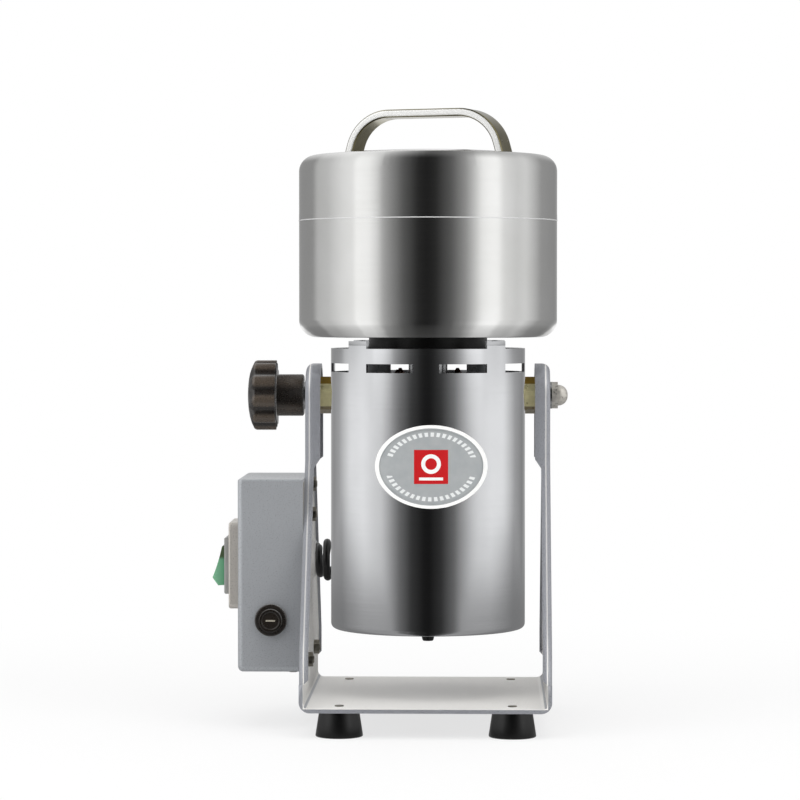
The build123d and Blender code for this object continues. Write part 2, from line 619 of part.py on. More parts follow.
def box_studs():
    """Studs pressed into the back plate, flush with its inner face."""
    stud = bar_x(BOX_STUD_RADIUS, (BACK_X, BOX_NUT_HEIGHT + BOX_STUD_TIP - ARM_INNER), 0, 0)
    stud = chamfer(stud.edges().group_by(Axis.X)[-1], BOX_STUD_TIP / 2)
    return group(Pos(0, y, z) * stud for y, z in box_stud_places())


def box_nuts():
    nut = hex_x(BOX_NUT_FLATS, (-ARM_INNER, BOX_NUT_HEIGHT - ARM_INNER), 0, 0)
    nut -= bar_x(BOX_STUD_RADIUS + FIT, (-2 * ARM_INNER, 0), 0, 0)
    return group(Pos(0, y, z) * nut for y, z in box_stud_places())


def switch_boss():
    """The raised pad that carries the switch on the far face of the box."""
    pad = block((-BOSS_FACE_X, BOX_FAR_X), (-SWITCH_BOSS_DEPTH / 2, SWITCH_BOSS_DEPTH / 2),
                (SWITCH_BOSS_Z - SWITCH_BOSS_HEIGHT / 2, SWITCH_BOSS_Z + SWITCH_BOSS_HEIGHT / 2))
    pad = fillet(pad.edges().filter_by(Axis.X), SWITCH_BOSS_ROUND)
    pad = fillet(pad.faces().sort_by(Axis.X)[0].edges(), SWITCH_BOSS_ROUND / 3)
    return pad - block((-2 * BOSS_FACE_X, 0), (-SWITCH_BODY_DEPTH / 2 - FIT, SWITCH_BODY_DEPTH / 2 + FIT),
                       switch_z(FIT))


def switch_body():
    """Bezel, body and contact blades of the rocker switch."""
    back_x = SWITCH_BODY_LENGTH - BOSS_FACE_X
    half_z = BEZEL_HEIGHT / 2
    bezel = block((-BEZEL_FACE_X, -BOSS_FACE_X), (-BEZEL_DEPTH / 2, BEZEL_DEPTH / 2),
                  (SWITCH_Z - half_z, SWITCH_Z + half_z))
    bezel = fillet(bezel.faces().sort_by(Axis.X)[0].edges(), BEZEL_REACH / 3)
    body = bezel + block((-BOSS_FACE_X, back_x), (-SWITCH_BODY_DEPTH / 2, SWITCH_BODY_DEPTH / 2),
                         switch_z(0))
    for y in (-1, 1):
        for z in (-1, 1):
            blade = block((back_x - FIT, back_x + SWITCH_BLADE_LENGTH),
                          (-SWITCH_BLADE_THICK / 2, SWITCH_BLADE_THICK / 2),
                          (-SWITCH_BLADE_WIDTH / 2, SWITCH_BLADE_WIDTH / 2))
            body += Pos(0, y * SWITCH_BODY_DEPTH / 4, SWITCH_Z + z * SWITCH_BODY_HEIGHT / 4) * blade
    reach = sqrt(ROCKER_HALF_HEIGHT ** 2 + ROCKER_PIN_DEPTH ** 2) + ROCKER_CLEARANCE + FACE_GAP
    body -= block((-2 * BEZEL_FACE_X, ROCKER_AXIS_X + ROCKER_ROOT + LOOSE_GAP),
                  (-ROCKER_HALF_WIDTH - ROCKER_CLEARANCE, ROCKER_HALF_WIDTH + ROCKER_CLEARANCE),
                  (SWITCH_Z - reach, SWITCH_Z + reach))
    pin_y = ROCKER_HALF_WIDTH + ROCKER_PIN_LENGTH + FACE_GAP
    return body - bar_y(ROCKER_PIN_RADIUS + RUNNING_FIT, (-pin_y, pin_y), ROCKER_AXIS_X, SWITCH_Z)


def rocker():
    """The rocker, tilted so that its lower crest stands out. Drawn outwards from its pin axis."""
    crest = ROCKER_CREST + ROCKER_PIN_DEPTH
    with BuildSketch(Plane.XZ) as side:
        with BuildLine():
            ThreePointArc((-crest, ROCKER_CREST_Z), (ROCKER_DISH - crest, 0), (-crest, -ROCKER_CREST_Z))
            Polyline((-crest, -ROCKER_CREST_Z), (-ROCKER_PIN_DEPTH, -ROCKER_HALF_HEIGHT),
                     (ROCKER_PIN_DEPTH, ROCKER_WAIST - ROCKER_HALF_HEIGHT),
                     (ROCKER_ROOT - ROCKER_PIN_DEPTH, -ROCKER_ROOT_HALF),
                     (ROCKER_ROOT - ROCKER_PIN_DEPTH, ROCKER_ROOT_HALF),
                     (ROCKER_PIN_DEPTH, ROCKER_HALF_HEIGHT - ROCKER_WAIST),
                     (-ROCKER_PIN_DEPTH, ROCKER_HALF_HEIGHT), (-crest, ROCKER_CREST_Z))
        make_face()
    body = extrude(side.sketch, ROCKER_HALF_WIDTH, both=True)
    pin_y = ROCKER_HALF_WIDTH + ROCKER_PIN_LENGTH
    body += bar_y(ROCKER_PIN_RADIUS, (-pin_y, pin_y), 0, 0)
    return Pos(ROCKER_AXIS_X, 0, SWITCH_Z) * Rot(0, ROCKER_TILT, 0) * body


def fuse_holder():
    front = -BOX_HALF_DEPTH
    flange = bar_y(FUSE_FLANGE_RADIUS, (front - FUSE_FLANGE, front), FUSE_X, FUSE_Z)
    flange = fillet(flange.edges().group_by(Axis.Y)[0], FUSE_FLANGE / 3)
    body = flange + bar_y(FUSE_BODY_RADIUS, (front - FIT, front + FUSE_BODY_LENGTH), FUSE_X, FUSE_Z)
    bore_end = front + FUSE_BODY_LENGTH - BOX_WALL
    return body - bar_y(FUSE_BORE_RADIUS, (2 * front, bore_end), FUSE_X, FUSE_Z)


def fuse_cap():
    face_y = -BOX_HALF_DEPTH - FUSE_FLANGE - FACE_GAP
    skirt_end = face_y + FUSE_SKIRT_LENGTH
    head = bar_y(FUSE_CAP_RADIUS, (face_y - FUSE_CAP_HEIGHT, face_y), FUSE_X, FUSE_Z)
    head = fillet(head.edges().group_by(Axis.Y)[0], FUSE_CAP_HEIGHT / 4)
    cap = head + bar_y(FUSE_BORE_RADIUS - RUNNING_FIT, (face_y - FIT, skirt_end), FUSE_X, FUSE_Z)
    cap -= bar_y(FUSE_LINK_RADIUS + RUNNING_FIT, (skirt_end - FUSE_GRIP, skirt_end + 1), FUSE_X, FUSE_Z)
    return cap - block((FUSE_X - FUSE_CAP_RADIUS, FUSE_X + FUSE_CAP_RADIUS),
                       (2 * face_y, face_y - FUSE_CAP_HEIGHT + FUSE_SLOT_DEPTH),
                       (FUSE_Z - FUSE_SLOT_WIDTH / 2, FUSE_Z + FUSE_SLOT_WIDTH / 2))


def fuse_link():
    """Glass fuse: two metal ends and the tube between them."""
    start = -BOX_HALF_DEPTH - FUSE_FLANGE - FACE_GAP + FUSE_SKIRT_LENGTH - FUSE_GRIP + FACE_GAP
    end = start + FUSE_LINK_LENGTH
    return group([
        bar_y(FUSE_LINK_RADIUS, (start, start + FUSE_END_LENGTH), FUSE_X, FUSE_Z),
        bar_y(FUSE_LINK_RADIUS - 4 * FIT, (start + FUSE_END_LENGTH, end - FUSE_END_LENGTH), FUSE_X, FUSE_Z),
        bar_y(FUSE_LINK_RADIUS, (end - FUSE_END_LENGTH, end), FUSE_X, FUSE_Z)])


def inlet_outline(inset):
    """The inlet's outline in the XZ plane: a rectangle with its two upper corners cut off."""
    half_width, half_height = INLET_WIDTH / 2 - inset, INLET_HEIGHT / 2 - inset
    corner = INLET_CORNER
    return Plane.XZ * make_face(Polyline(
        (-half_width, -half_height), (half_width, -half_height), (half_width, half_height - corner),
        (half_width - corner, half_height), (corner - half_width, half_height),
        (-half_width, half_height - corner), close=True))


def mains_inlet():
    back = BOX_HALF_DEPTH
    half_width = INLET_WIDTH / 2 + INLET_FLANGE_RIM
    half_height = INLET_HEIGHT / 2 + INLET_FLANGE_RIM
    flange = block((-half_width, half_width), (0, INLET_FLANGE), (-half_height, half_height))
    flange = fillet(flange.edges().filter_by(Axis.Y), INLET_FLANGE_RIM)
    flange = fillet(flange.faces().sort_by(Axis.Y)[-1].edges(), INLET_FLANGE / 3)
    body = flange + block((-INLET_WIDTH / 2, INLET_WIDTH / 2), (-INLET_BODY_LENGTH, 0),
                          (-INLET_HEIGHT / 2, INLET_HEIGHT / 2))
    socket_depth = INLET_BODY_LENGTH - INLET_WALL
    body -= extrude(inlet_outline(INLET_WALL), socket_depth)
    body -= extrude(inlet_outline(INLET_WALL), -2 * INLET_FLANGE)
    for x, z in inlet_pin_places():
        body -= block((x - PIN_WIDTH / 2 - FIT, x + PIN_WIDTH / 2 + FIT), (-2 * INLET_BODY_LENGTH, 0),
                      (z - PIN_HEIGHT / 2 - FIT, z + PIN_HEIGHT / 2 + FIT))
    return Pos(INLET_X, back, INLET_Z) * body


def inlet_pin_places():
    return [(-PIN_SPACING / 2, -EARTH_PIN_RISE / 2), (PIN_SPACING / 2, -EARTH_PIN_RISE / 2),
            (0, EARTH_PIN_RISE / 2)]


def inlet_pins():
    pins = []
    for x, z in inlet_pin_places():
        pin = block((x - PIN_WIDTH / 2, x + PIN_WIDTH / 2),
                    (-INLET_BODY_LENGTH - PIN_TAIL, INLET_FLANGE - PIN_RECESS),
                    (z - PIN_HEIGHT / 2, z + PIN_HEIGHT / 2))
        pins.append(Pos(INLET_X, BOX_HALF_DEPTH, INLET_Z) * pin)
    return group(pins)


# ---------------------------------------------------------------- motor lead
def lead_grommet():
    flange = bar_x(GROMMET_RADIUS, (LEAD_FLANGE_X, LEAD_COIL_X), LEAD_Y, LEAD_Z)
    flange = fillet(flange.edges().group_by(Axis.X)[-1], GROMMET_HEIGHT / 2)
    inner_x = BACK_X - GROMMET_HEIGHT
    body = flange + bar_x(GROMMET_NECK_RADIUS, (BACK_X, LEAD_FLANGE_X), LEAD_Y, LEAD_Z)
    body += bar_x(GROMMET_RADIUS, (inner_x, BACK_X), LEAD_Y, LEAD_Z)
    return body - bar_x(LEAD_RADIUS + FIT, (inner_x - 1, LEAD_COIL_X + 1), LEAD_Y, LEAD_Z)


def motor_lead():
    """The outer shape of the curly lead, with its straight tail in the box and its end at the head."""
    coil_end = BUSH_FACE_X - LEAD_RADIUS / 4
    coil = bar_x(LEAD_COIL_RADIUS, (LEAD_COIL_X, coil_end), LEAD_Y, LEAD_Z)
    tail = bar_x(LEAD_RADIUS, (BACK_X - GROMMET_HEIGHT - LEAD_TAIL, LEAD_COIL_X + FIT), LEAD_Y, LEAD_Z)
    end = bar_x(LEAD_RADIUS, (coil_end - FIT, BUSH_FACE_X), LEAD_Y, LEAD_Z - LEAD_END_DROP)
    return coil + tail + end


def lead_bush():
    """The rubber bush in the tube that the lead ends in."""
    return bar_x(BUSH_RADIUS, (BUSH_FACE_X, TUBE_WALL - TUBE_INNER), LEAD_Y, LEAD_Z - LEAD_END_DROP)


# ---------------------------------------------------------------- head: tube and pivots
def housing():
    """The drawn steel tube with its floor, rim tabs and air slots."""
    outer = post(TUBE_RADIUS, (TUBE_BOTTOM_Z, RIM_Z + TAB_HEIGHT))
    outer = fillet(outer.edges().group_by(Axis.Z)[0], TUBE_BOTTOM_ROUND)
    hollow = post(TUBE_INNER, (TUBE_BOTTOM_Z + TUBE_WALL, RIM_Z + 2 * TAB_HEIGHT))
    hollow = fillet(hollow.edges().group_by(Axis.Z)[0], TUBE_BOTTOM_ROUND - TUBE_WALL)
    tube = outer - hollow
    between_tabs = sector(TUBE_RADIUS + 1, TUBE_INNER - 1, (RIM_Z, RIM_Z + 2 * TAB_HEIGHT),
                          TAB_ANGLE / 2, 90 - TAB_ANGLE)
    for notch in around(4, between_tabs, 45):
        tube -= notch
    slot = sector(TUBE_RADIUS + 1, TUBE_INNER - 1, (SLOT_Z, SLOT_Z + SLOT_HEIGHT),
                  TAB_ANGLE / 2, 360 / SLOT_COUNT - TAB_ANGLE)
    for notch in around(SLOT_COUNT, slot):
        tube -= notch
    floor_slot = block((FLOOR_SLOT_INNER, FLOOR_SLOT_OUTER), (-FLOOR_SLOT_WIDTH / 2, FLOOR_SLOT_WIDTH / 2),
                       (TUBE_BOTTOM_Z - 1, TUBE_BOTTOM_Z + 2 * TUBE_WALL))
    for notch in around(FLOOR_SLOTS, floor_slot, 180 / FLOOR_SLOTS):
        tube -= notch
    tube -= post(PLUG_STEM_RADIUS + FIT, (TUBE_BOTTOM_Z - 1, TUBE_BOTTOM_Z + 2 * TUBE_WALL))
    tube -= bar_x(BOSS_SPIGOT_RADIUS + FIT, (-2 * TUBE_RADIUS, 2 * TUBE_RADIUS))
    return tube - bar_x(BUSH_RADIUS + FIT, (-2 * TUBE_RADIUS, 0), LEAD_Y, LEAD_Z - LEAD_END_DROP)


def housing_plug():
    """The rubber plug under the lower bearing."""
    return turned((0, TUBE_BOTTOM_Z - PLUG_DROP), (PLUG_TIP_RADIUS, TUBE_BOTTOM_Z - PLUG_DROP),
                  (PLUG_RADIUS, TUBE_BOTTOM_Z), (PLUG_STEM_RADIUS, TUBE_BOTTOM_Z),
                  (PLUG_STEM_RADIUS, TUBE_BOTTOM_Z + TUBE_WALL), (0, TUBE_BOTTOM_Z + TUBE_WALL))


def badge():
    """The oval plate, bent round the tube, with a raised rim."""
    def oval(shrink, rise):
        face = Plane.XZ * Ellipse(BADGE_HALF_WIDTH - shrink, BADGE_HALF_HEIGHT - shrink)
        prism = Pos(BADGE_X, 0, BADGE_Z) * extrude(face, 2 * TUBE_RADIUS)
        skin = ring(TUBE_RADIUS + rise, TUBE_RADIUS, (BADGE_Z - TUBE_RADIUS, BADGE_Z + TUBE_RADIUS))
        return prism & skin
    return oval(0, BADGE_THICK + BADGE_RIM_RISE) - (oval(BADGE_RIM, 2 * BADGE_THICK)
                                                    - oval(0, BADGE_THICK))


def brass_bosses():
    """The two hexagonal bosses that the head turns on, saddled onto the tube."""
    tube = post(TUBE_RADIUS + FIT, (0, RIM_Z))
    boss = hex_x(BOSS_FLATS, (TUBE_RADIUS - BOSS_SPIGOT_LENGTH, BOSS_TURN_CLEAR), turn=BOSS_TURN) - tube
    spigot_end = TUBE_RADIUS - BOSS_SPIGOT_LENGTH
    boss += bar_x(BOSS_SPIGOT_RADIUS, (spigot_end, BOSS_TURN_CLEAR))
    boss -= bar_x(STUD_RADIUS + RUNNING_FIT, (spigot_end + STUD_HOLE_FLOOR, 2 * TUBE_RADIUS))
    return group([boss, mirror(boss, Plane.YZ)])


def boss_nuts():
    """Thin nuts that hold the bosses from inside the tube."""
    outer_x = sqrt((TUBE_INNER - FIT) ** 2 - (BOSS_NUT_FLATS / 2 / cos(pi / 6)) ** 2)
    nut = hex_x(BOSS_NUT_FLATS, (outer_x - BOSS_NUT_HEIGHT, outer_x))
    nut -= bar_x(BOSS_SPIGOT_RADIUS + FIT, (0, TUBE_RADIUS))
    return group([nut, mirror(nut, Plane.YZ)])


def pivot_stud():
    return bar_x(STUD_RADIUS, (STUD_END_X, ACORN_X + ACORN_HEX_HEIGHT + STUD_PITCH))


def pivot_washer():
    washer = bar_x(PIVOT_WASHER_RADIUS, (STAND_HALF_WIDTH + FACE_GAP, ACORN_X))
    return washer - bar_x(STUD_RADIUS + FIT, (0, 2 * ACORN_X))


def acorn_nut():
    """A hexagon with a round dome that covers the end of the stud."""
    base = ACORN_X + ACORN_HEX_HEIGHT
    dome = bar_x(ACORN_DOME_RADIUS, (base - FIT, ACORN_TIP_X))
    dome = fillet(dome.edges().group_by(Axis.X)[-1], ACORN_DOME_HEIGHT - 4 * FIT)
    nut = hex_x(ACORN_FLATS, (ACORN_X, base)) + dome
    return nut - bar_x(STUD_RADIUS + FIT, (0, base + STUD_PITCH + FIT))


# ---------------------------------------------------------------- clamp knob
def clamp_washer():
    washer = bar_x(KNOB_WASHER_RADIUS, (-KNOB_HUB_X, -STAND_HALF_WIDTH - FACE_GAP))
    return washer - bar_x(STUD_RADIUS + RUNNING_FIT, (-2 * KNOB_HUB_X, 0))


def clamp_knob():
    """The star knob: a hub and a head of round lobes with a domed face."""
    star = Circle(KNOB_RADIUS - KNOB_LOBE_RADIUS)
    lobe = Pos(KNOB_RADIUS - KNOB_LOBE_RADIUS, 0) * Circle(KNOB_LOBE_RADIUS)
    for i in range(KNOB_LOBES):
        star += Rot(0, 0, i * 360 / KNOB_LOBES) * lobe
    prism = extrude(star, KNOB_HEAD + KNOB_DOME)
    with BuildSketch(Plane.XZ) as half:
        with BuildLine():
            Polyline((0, 0), (KNOB_RADIUS - KNOB_EDGE, 0), (KNOB_RADIUS, KNOB_EDGE),
                     (KNOB_RADIUS, KNOB_HEAD - KNOB_EDGE), (KNOB_RADIUS - KNOB_EDGE, KNOB_HEAD))
            ThreePointArc((KNOB_RADIUS - KNOB_EDGE, KNOB_HEAD),
                          (KNOB_RADIUS * KNOB_DOME_MID_RADIUS, KNOB_HEAD + KNOB_DOME * KNOB_DOME_MID_HEIGHT),
                          (0, KNOB_HEAD + KNOB_DOME))
            Line((0, KNOB_HEAD + KNOB_DOME), (0, 0))
        make_face()
    head = prism & revolve(half.sketch, Axis.Z)
    hub = Pos(0, 0, -KNOB_HUB_LENGTH) * turned((0, 0), (KNOB_HUB_RADIUS - KNOB_EDGE / 2, 0),
                                               (KNOB_HUB_RADIUS, KNOB_EDGE / 2),
                                               (KNOB_HUB_RADIUS - KNOB_EDGE / 4, KNOB_HUB_LENGTH + FIT),
                                               (0, KNOB_HUB_LENGTH + FIT))
    knob = Pos(-KNOB_HEAD_X, 0, PIVOT_Z) * Rot(0, -90, 0) * (head + hub)
    return knob - bar_x(STUD_RADIUS + FIT, (-KNOB_HUB_X - KNOB_STUD_EMBED - FIT, 0))


def clamp_stud():
    return bar_x(STUD_RADIUS, (-KNOB_HUB_X - KNOB_STUD_EMBED, -STUD_END_X))


# ---------------------------------------------------------------- motor, fixed pieces
def leg(z):
    return block((LEG_RADIUS - LEG_RADIAL / 2, LEG_RADIUS + LEG_RADIAL / 2),
                 (-LEG_WIDTH / 2, LEG_WIDTH / 2), z)


def upper_end_shield():
    """The cast plate in the rim of the tube, with four legs down to the stator."""
    shield = post(SHIELD_RADIUS, (SHIELD_Z, RIM_Z))
    for piece in around(4, leg((STATOR_TOP_Z, SHIELD_Z + FIT)), 45):
        shield += piece
    shield -= post(SHIELD_LIP_RADIUS, (0, RIM_Z + 1))
    shield -= post(UPPER_BEARING_OUTER + FIT, (BEARING_Z, RIM_Z + 1))
    bolt = post(MOTOR_BOLT_RADIUS + FIT, (0, RIM_Z + 1), LEG_RADIUS)
    bolt += post(MOTOR_BOLT_HEAD_RADIUS + FIT, (RIM_Z - MOTOR_BOLT_HEAD, RIM_Z + 1), LEG_RADIUS)
    for hole in around(4, bolt, 45):
        shield -= hole
    tapped = post(BOWL_SCREW_RADIUS + FIT, (BOWL_SCREW_END_Z, RIM_Z + 1), BOWL_SCREW_CIRCLE)
    for hole in around(4, tapped, 45):
        shield -= hole
    return shield


def lower_end_shield():
    """The cast cross that holds the lower bearing, with four legs up to the stator."""
    z = (LOWER_SHIELD_Z, LOWER_SHIELD_Z + LOWER_SHIELD_THICK)
    shield = post(LOWER_HUB_RADIUS, z)
    spoke = block((0, LEG_RADIUS + LEG_RADIAL / 2), (-LEG_WIDTH / 2, LEG_WIDTH / 2), z)
    for piece in around(4, spoke + leg((LOWER_SHIELD_Z, STATOR_Z)), 45):
        shield += piece
    shield -= post(SHIELD_LIP_RADIUS, (0, 2 * LOWER_SHIELD_Z))
    shield -= post(LOWER_BEARING_OUTER + FIT, (LOWER_SHIELD_Z + SHIELD_LIP, 2 * LOWER_SHIELD_Z))
    tapped = post(MOTOR_BOLT_RADIUS + FIT, (LOWER_SHIELD_Z + SHIELD_LIP, STATOR_Z + 1), LEG_RADIUS)
    for hole in around(4, tapped, 45):
        shield -= hole
    return shield


def upper_bearing():
    return ring(UPPER_BEARING_OUTER, UPPER_BEARING_BORE + RUNNING_FIT,
                (BEARING_Z, BEARING_Z + UPPER_BEARING_WIDTH))


def lower_bearing():
    return ring(LOWER_BEARING_OUTER, LOWER_BEARING_BORE + RUNNING_FIT,
                (LOWER_BEARING_Z, LOWER_BEARING_Z + LOWER_BEARING_WIDTH))


def motor_bolts():
    bolt = post(MOTOR_BOLT_HEAD_RADIUS, (RIM_Z - MOTOR_BOLT_HEAD, RIM_Z), LEG_RADIUS)
    bolt += post(MOTOR_BOLT_RADIUS, (LOWER_SHIELD_Z + 2 * SHIELD_LIP, RIM_Z - MOTOR_BOLT_HEAD + FIT),
                 LEG_RADIUS)
    return group(around(4, bolt, 45))


def stator_core():
    """The laminated ring, with a window on each side for the coils."""
    core = ring(STATOR_RADIUS, STATOR_BORE, (STATOR_Z, STATOR_TOP_Z))
    window = sector(COIL_OUTER + COIL_CLEARANCE, STATOR_BORE - 1, (STATOR_Z - 1, STATOR_TOP_Z + 1),
                    -COIL_SIDE_ANGLE, 2 * COIL_SIDE_ANGLE)
    bolt = post(MOTOR_BOLT_RADIUS + FIT, (0, STATOR_TOP_Z + 1), LEG_RADIUS)
    for cut in around(2, window) + around(4, bolt, 45):
        core -= cut
    return core


def field_coils():
    """Two coils, each looped over one pole, with their terminal posts standing up."""
    clear = COIL_SIDE_ANGLE - COIL_GAP_ANGLE
    lower, upper = STATOR_Z - COIL_LOWER_DROP, STATOR_TOP_Z + COIL_UPPER_RISE
    coil = sector(COIL_OUTER, COIL_INNER, (lower, upper), COIL_GAP_ANGLE, 180 - 2 * COIL_GAP_ANGLE)
    coil -= sector(COIL_OUTER + 1, COIL_INNER - 1, (STATOR_Z - COIL_CLEARANCE, STATOR_TOP_Z + COIL_CLEARANCE),
                   clear, 180 - 2 * clear)
    terminal_y = sqrt(((COIL_INNER + COIL_OUTER) / 2) ** 2 - TERMINAL_X ** 2)
    terminal = turned((0, upper - FIT), (TERMINAL_RADIUS, upper - FIT),
                      (TERMINAL_RADIUS, TERMINAL_TOP_Z - TERMINAL_TIP),
                      (TERMINAL_RADIUS / 3, TERMINAL_TOP_Z), (0, TERMINAL_TOP_Z))
    for x in (-TERMINAL_X, TERMINAL_X):
        coil += Pos(x, terminal_y, 0) * terminal
    return group(around(2, coil))


def brush_holders():
    """A moulded ring on the lower shield with two boxes that guide the brushes."""
    plate_top = BRUSH_PLATE_Z + BRUSH_PLATE
    body = ring(BRUSH_PLATE_OUTER, BRUSH_PLATE_INNER, (BRUSH_PLATE_Z, plate_top))
    half = BRUSH_WIDTH / 2 + BRUSH_BOX_WALL
    box = block((BRUSH_BOX_INNER, BRUSH_BOX_INNER + BRUSH_BOX_LENGTH), (-half, half),
                (plate_top - FIT, BRUSH_Z + BRUSH_HEIGHT + BRUSH_BOX_WALL))
    end_x = BRUSH_BOX_INNER + BRUSH_BOX_LENGTH - BRUSH_BOX_WALL
    channel = block((0, end_x), (-BRUSH_WIDTH / 2 - FIT, BRUSH_WIDTH / 2 + FIT),
                    (BRUSH_Z - FIT, BRUSH_Z + BRUSH_HEIGHT + FIT))
    for piece in around(2, box):
        body += piece
    for piece in around(2, channel):
        body -= piece
    return body


def carbon_brushes():
    start = COMMUTATOR_RADIUS + BRUSH_GAP
    brush = block((start, start + BRUSH_LENGTH), (-BRUSH_WIDTH / 2, BRUSH_WIDTH / 2),
                  (BRUSH_Z, BRUSH_Z + BRUSH_HEIGHT))
    return group(around(2, brush))


def brush_springs():
    start = COMMUTATOR_RADIUS + BRUSH_GAP + BRUSH_LENGTH
    spring = bar_x(BRUSH_SPRING_RADIUS, (start, start + BRUSH_SPRING_LENGTH), 0, BRUSH_Z + BRUSH_HEIGHT / 2)
    return group(around(2, spring))


# ---------------------------------------------------------------- rotor
def shaft():
    bearing_top = BEARING_Z + UPPER_BEARING_WIDTH
    step_z = SLEEVE_Z + SLEEVE_HEIGHT
    lower_top = LOWER_BEARING_Z + LOWER_BEARING_WIDTH
    stages = [(LOWER_BEARING_BORE, FAN_Z, lower_top + FACE_GAP), (SHAFT_RADIUS, lower_top, step_z),
              (UPPER_BEARING_BORE, step_z - FIT, BLADE_Z + BLADE_SPACER_HEIGHT),
              (BLADE_STUD_RADIUS, bearing_top, SHAFT_TIP_Z)]
    body = post(stages[0][0], stages[0][1:])
    for radius, start, end in stages[1:]:
        body += post(radius, (start, end))
    return chamfer(body.edges().group_by(Axis.Z)[-1], BLADE_STUD_TIP / 2)


def shaft_sleeve():
    return ring(SLEEVE_RADIUS, SHAFT_RADIUS + FIT, (SLEEVE_Z, SLEEVE_Z + SLEEVE_HEIGHT))


def fan():
    """The cooling fan: a disc with radial blades on a hub."""
    body = post(FAN_RADIUS, (FAN_Z, FAN_Z + FAN_DISC)) + post(FAN_HUB_RADIUS, (FAN_Z, FAN_Z + FAN_HEIGHT))
    blade = block((FAN_HUB_RADIUS - 1, FAN_RADIUS - 1), (-FAN_BLADE_THICK / 2, FAN_BLADE_THICK / 2),
                  (FAN_Z + FAN_DISC - FIT, FAN_Z + FAN_HEIGHT))
    for piece in around(FAN_BLADES, blade):
        body += piece
    return body - post(LOWER_BEARING_BORE + FIT, (0, 2 * FAN_Z))


def armature_slots(clearance):
    """The slots of the armature as solids, drawn in by a clearance."""
    inner = ARMATURE_RADIUS - ARMATURE_SLOT_DEPTH + clearance
    half = ARMATURE_SLOT_WIDTH / 2 - clearance
    bar = block((inner, ARMATURE_RADIUS - 2 * clearance + 1), (-half, half),
                (STATOR_Z + ARMATURE_INSET - 1, STATOR_TOP_Z - ARMATURE_INSET + 1))
    return around(ARMATURE_SLOTS, bar)


def armature_core():
    core = ring(ARMATURE_RADIUS, SHAFT_RADIUS + FIT,
                (STATOR_Z + ARMATURE_INSET, STATOR_TOP_Z - ARMATURE_INSET))
    for slot in armature_slots(0):
        core -= slot
    return core


def armature_windings():
    """End turns above and below the core, joined through its slots."""
    bottom, top = STATOR_Z + ARMATURE_INSET, STATOR_TOP_Z - ARMATURE_INSET
    end = SHAFT_RADIUS + COIL_CLEARANCE
    body = ring(WINDING_RADIUS, end, (bottom - WINDING_LOWER, bottom - COIL_CLEARANCE))
    body += ring(WINDING_RADIUS, end, (top + COIL_CLEARANCE, top + WINDING_UPPER))
    reach = post(WINDING_RADIUS, (bottom - WINDING_LOWER, top + WINDING_UPPER))
    for bar in armature_slots(COIL_CLEARANCE):
        body += bar & reach
    return body


def commutator():
    """Copper bars on the shaft, marked off by grooves."""
    body = ring(COMMUTATOR_RADIUS, SHAFT_RADIUS + FIT, (COMMUTATOR_Z, COMMUTATOR_Z + COMMUTATOR_HEIGHT))
    groove = block((COMMUTATOR_RADIUS - COMMUTATOR_GROOVE_DEPTH, COMMUTATOR_RADIUS + 1),
                   (-COMMUTATOR_GROOVE / 2, COMMUTATOR_GROOVE / 2),
                   (COMMUTATOR_Z - 1, COMMUTATOR_Z + COMMUTATOR_HEIGHT + 1))
    for cut in around(2 * ARMATURE_SLOTS, groove):
        body -= cut
    return body


def blade_spacer():
    return ring(BLADE_SPACER_RADIUS, UPPER_BEARING_BORE + FIT, (BLADE_Z, BLADE_Z + BLADE_SPACER_HEIGHT))


def blade(z, rise, turn):
    """A cutting bar on the shaft: flat in the middle, its ends bent up or down and ground sharp."""
    outline = Polyline((-BLADE_REACH, z + rise), (-BLADE_FLAT, z), (BLADE_FLAT, z), (BLADE_REACH, z + rise),
                       (BLADE_REACH, z + rise + BLADE_THICK), (BLADE_FLAT, z + BLADE_THICK),
                       (-BLADE_FLAT, z + BLADE_THICK), (-BLADE_REACH, z + rise + BLADE_THICK), close=True)
    bar = extrude(Plane.XZ * make_face(outline), BLADE_WIDTH / 2, both=True)
    slant = block((BLADE_FLAT, 2 * BLADE_REACH), (BLADE_WIDTH / 4, 2 * BLADE_WIDTH), (0, 2 * z))
    slant = Rot(0, 0, BLADE_SLANT) * slant
    for cut in around(2, slant):
        bar -= cut
    bar -= post(BLADE_STUD_RADIUS + FIT, (0, 2 * z))
    return Rot(0, 0, turn) * bar


def blade_nut():
    nut = Pos(0, 0, BLADE_NUT_Z) * hexagon(BLADE_NUT_FLATS, BLADE_NUT_HEIGHT)
    return nut - post(BLADE_STUD_RADIUS + FIT, (0, 2 * BLADE_NUT_Z))


# ---------------------------------------------------------------- bowl
def collar():
    """The black ring between the shield and the bowl, recessed for the bearing and the seal."""
    body = ring(COLLAR_RADIUS, SHIELD_LIP_RADIUS + FIT, (RIM_Z, BOWL_Z))
    body -= post(UPPER_BEARING_OUTER + FIT, (RIM_Z - 1, BEARING_Z + UPPER_BEARING_WIDTH + FIT))
    for hole in around(4, post(BOWL_SCREW_RADIUS + FIT, (0, BOWL_Z + 1), BOWL_SCREW_CIRCLE), 45):
        body -= hole
    return body


def shaft_seal():
    return ring(SEAL_RADIUS, UPPER_BEARING_BORE + RUNNING_FIT,
                (BEARING_Z + UPPER_BEARING_WIDTH + 2 * FIT, BOWL_Z - FIT))


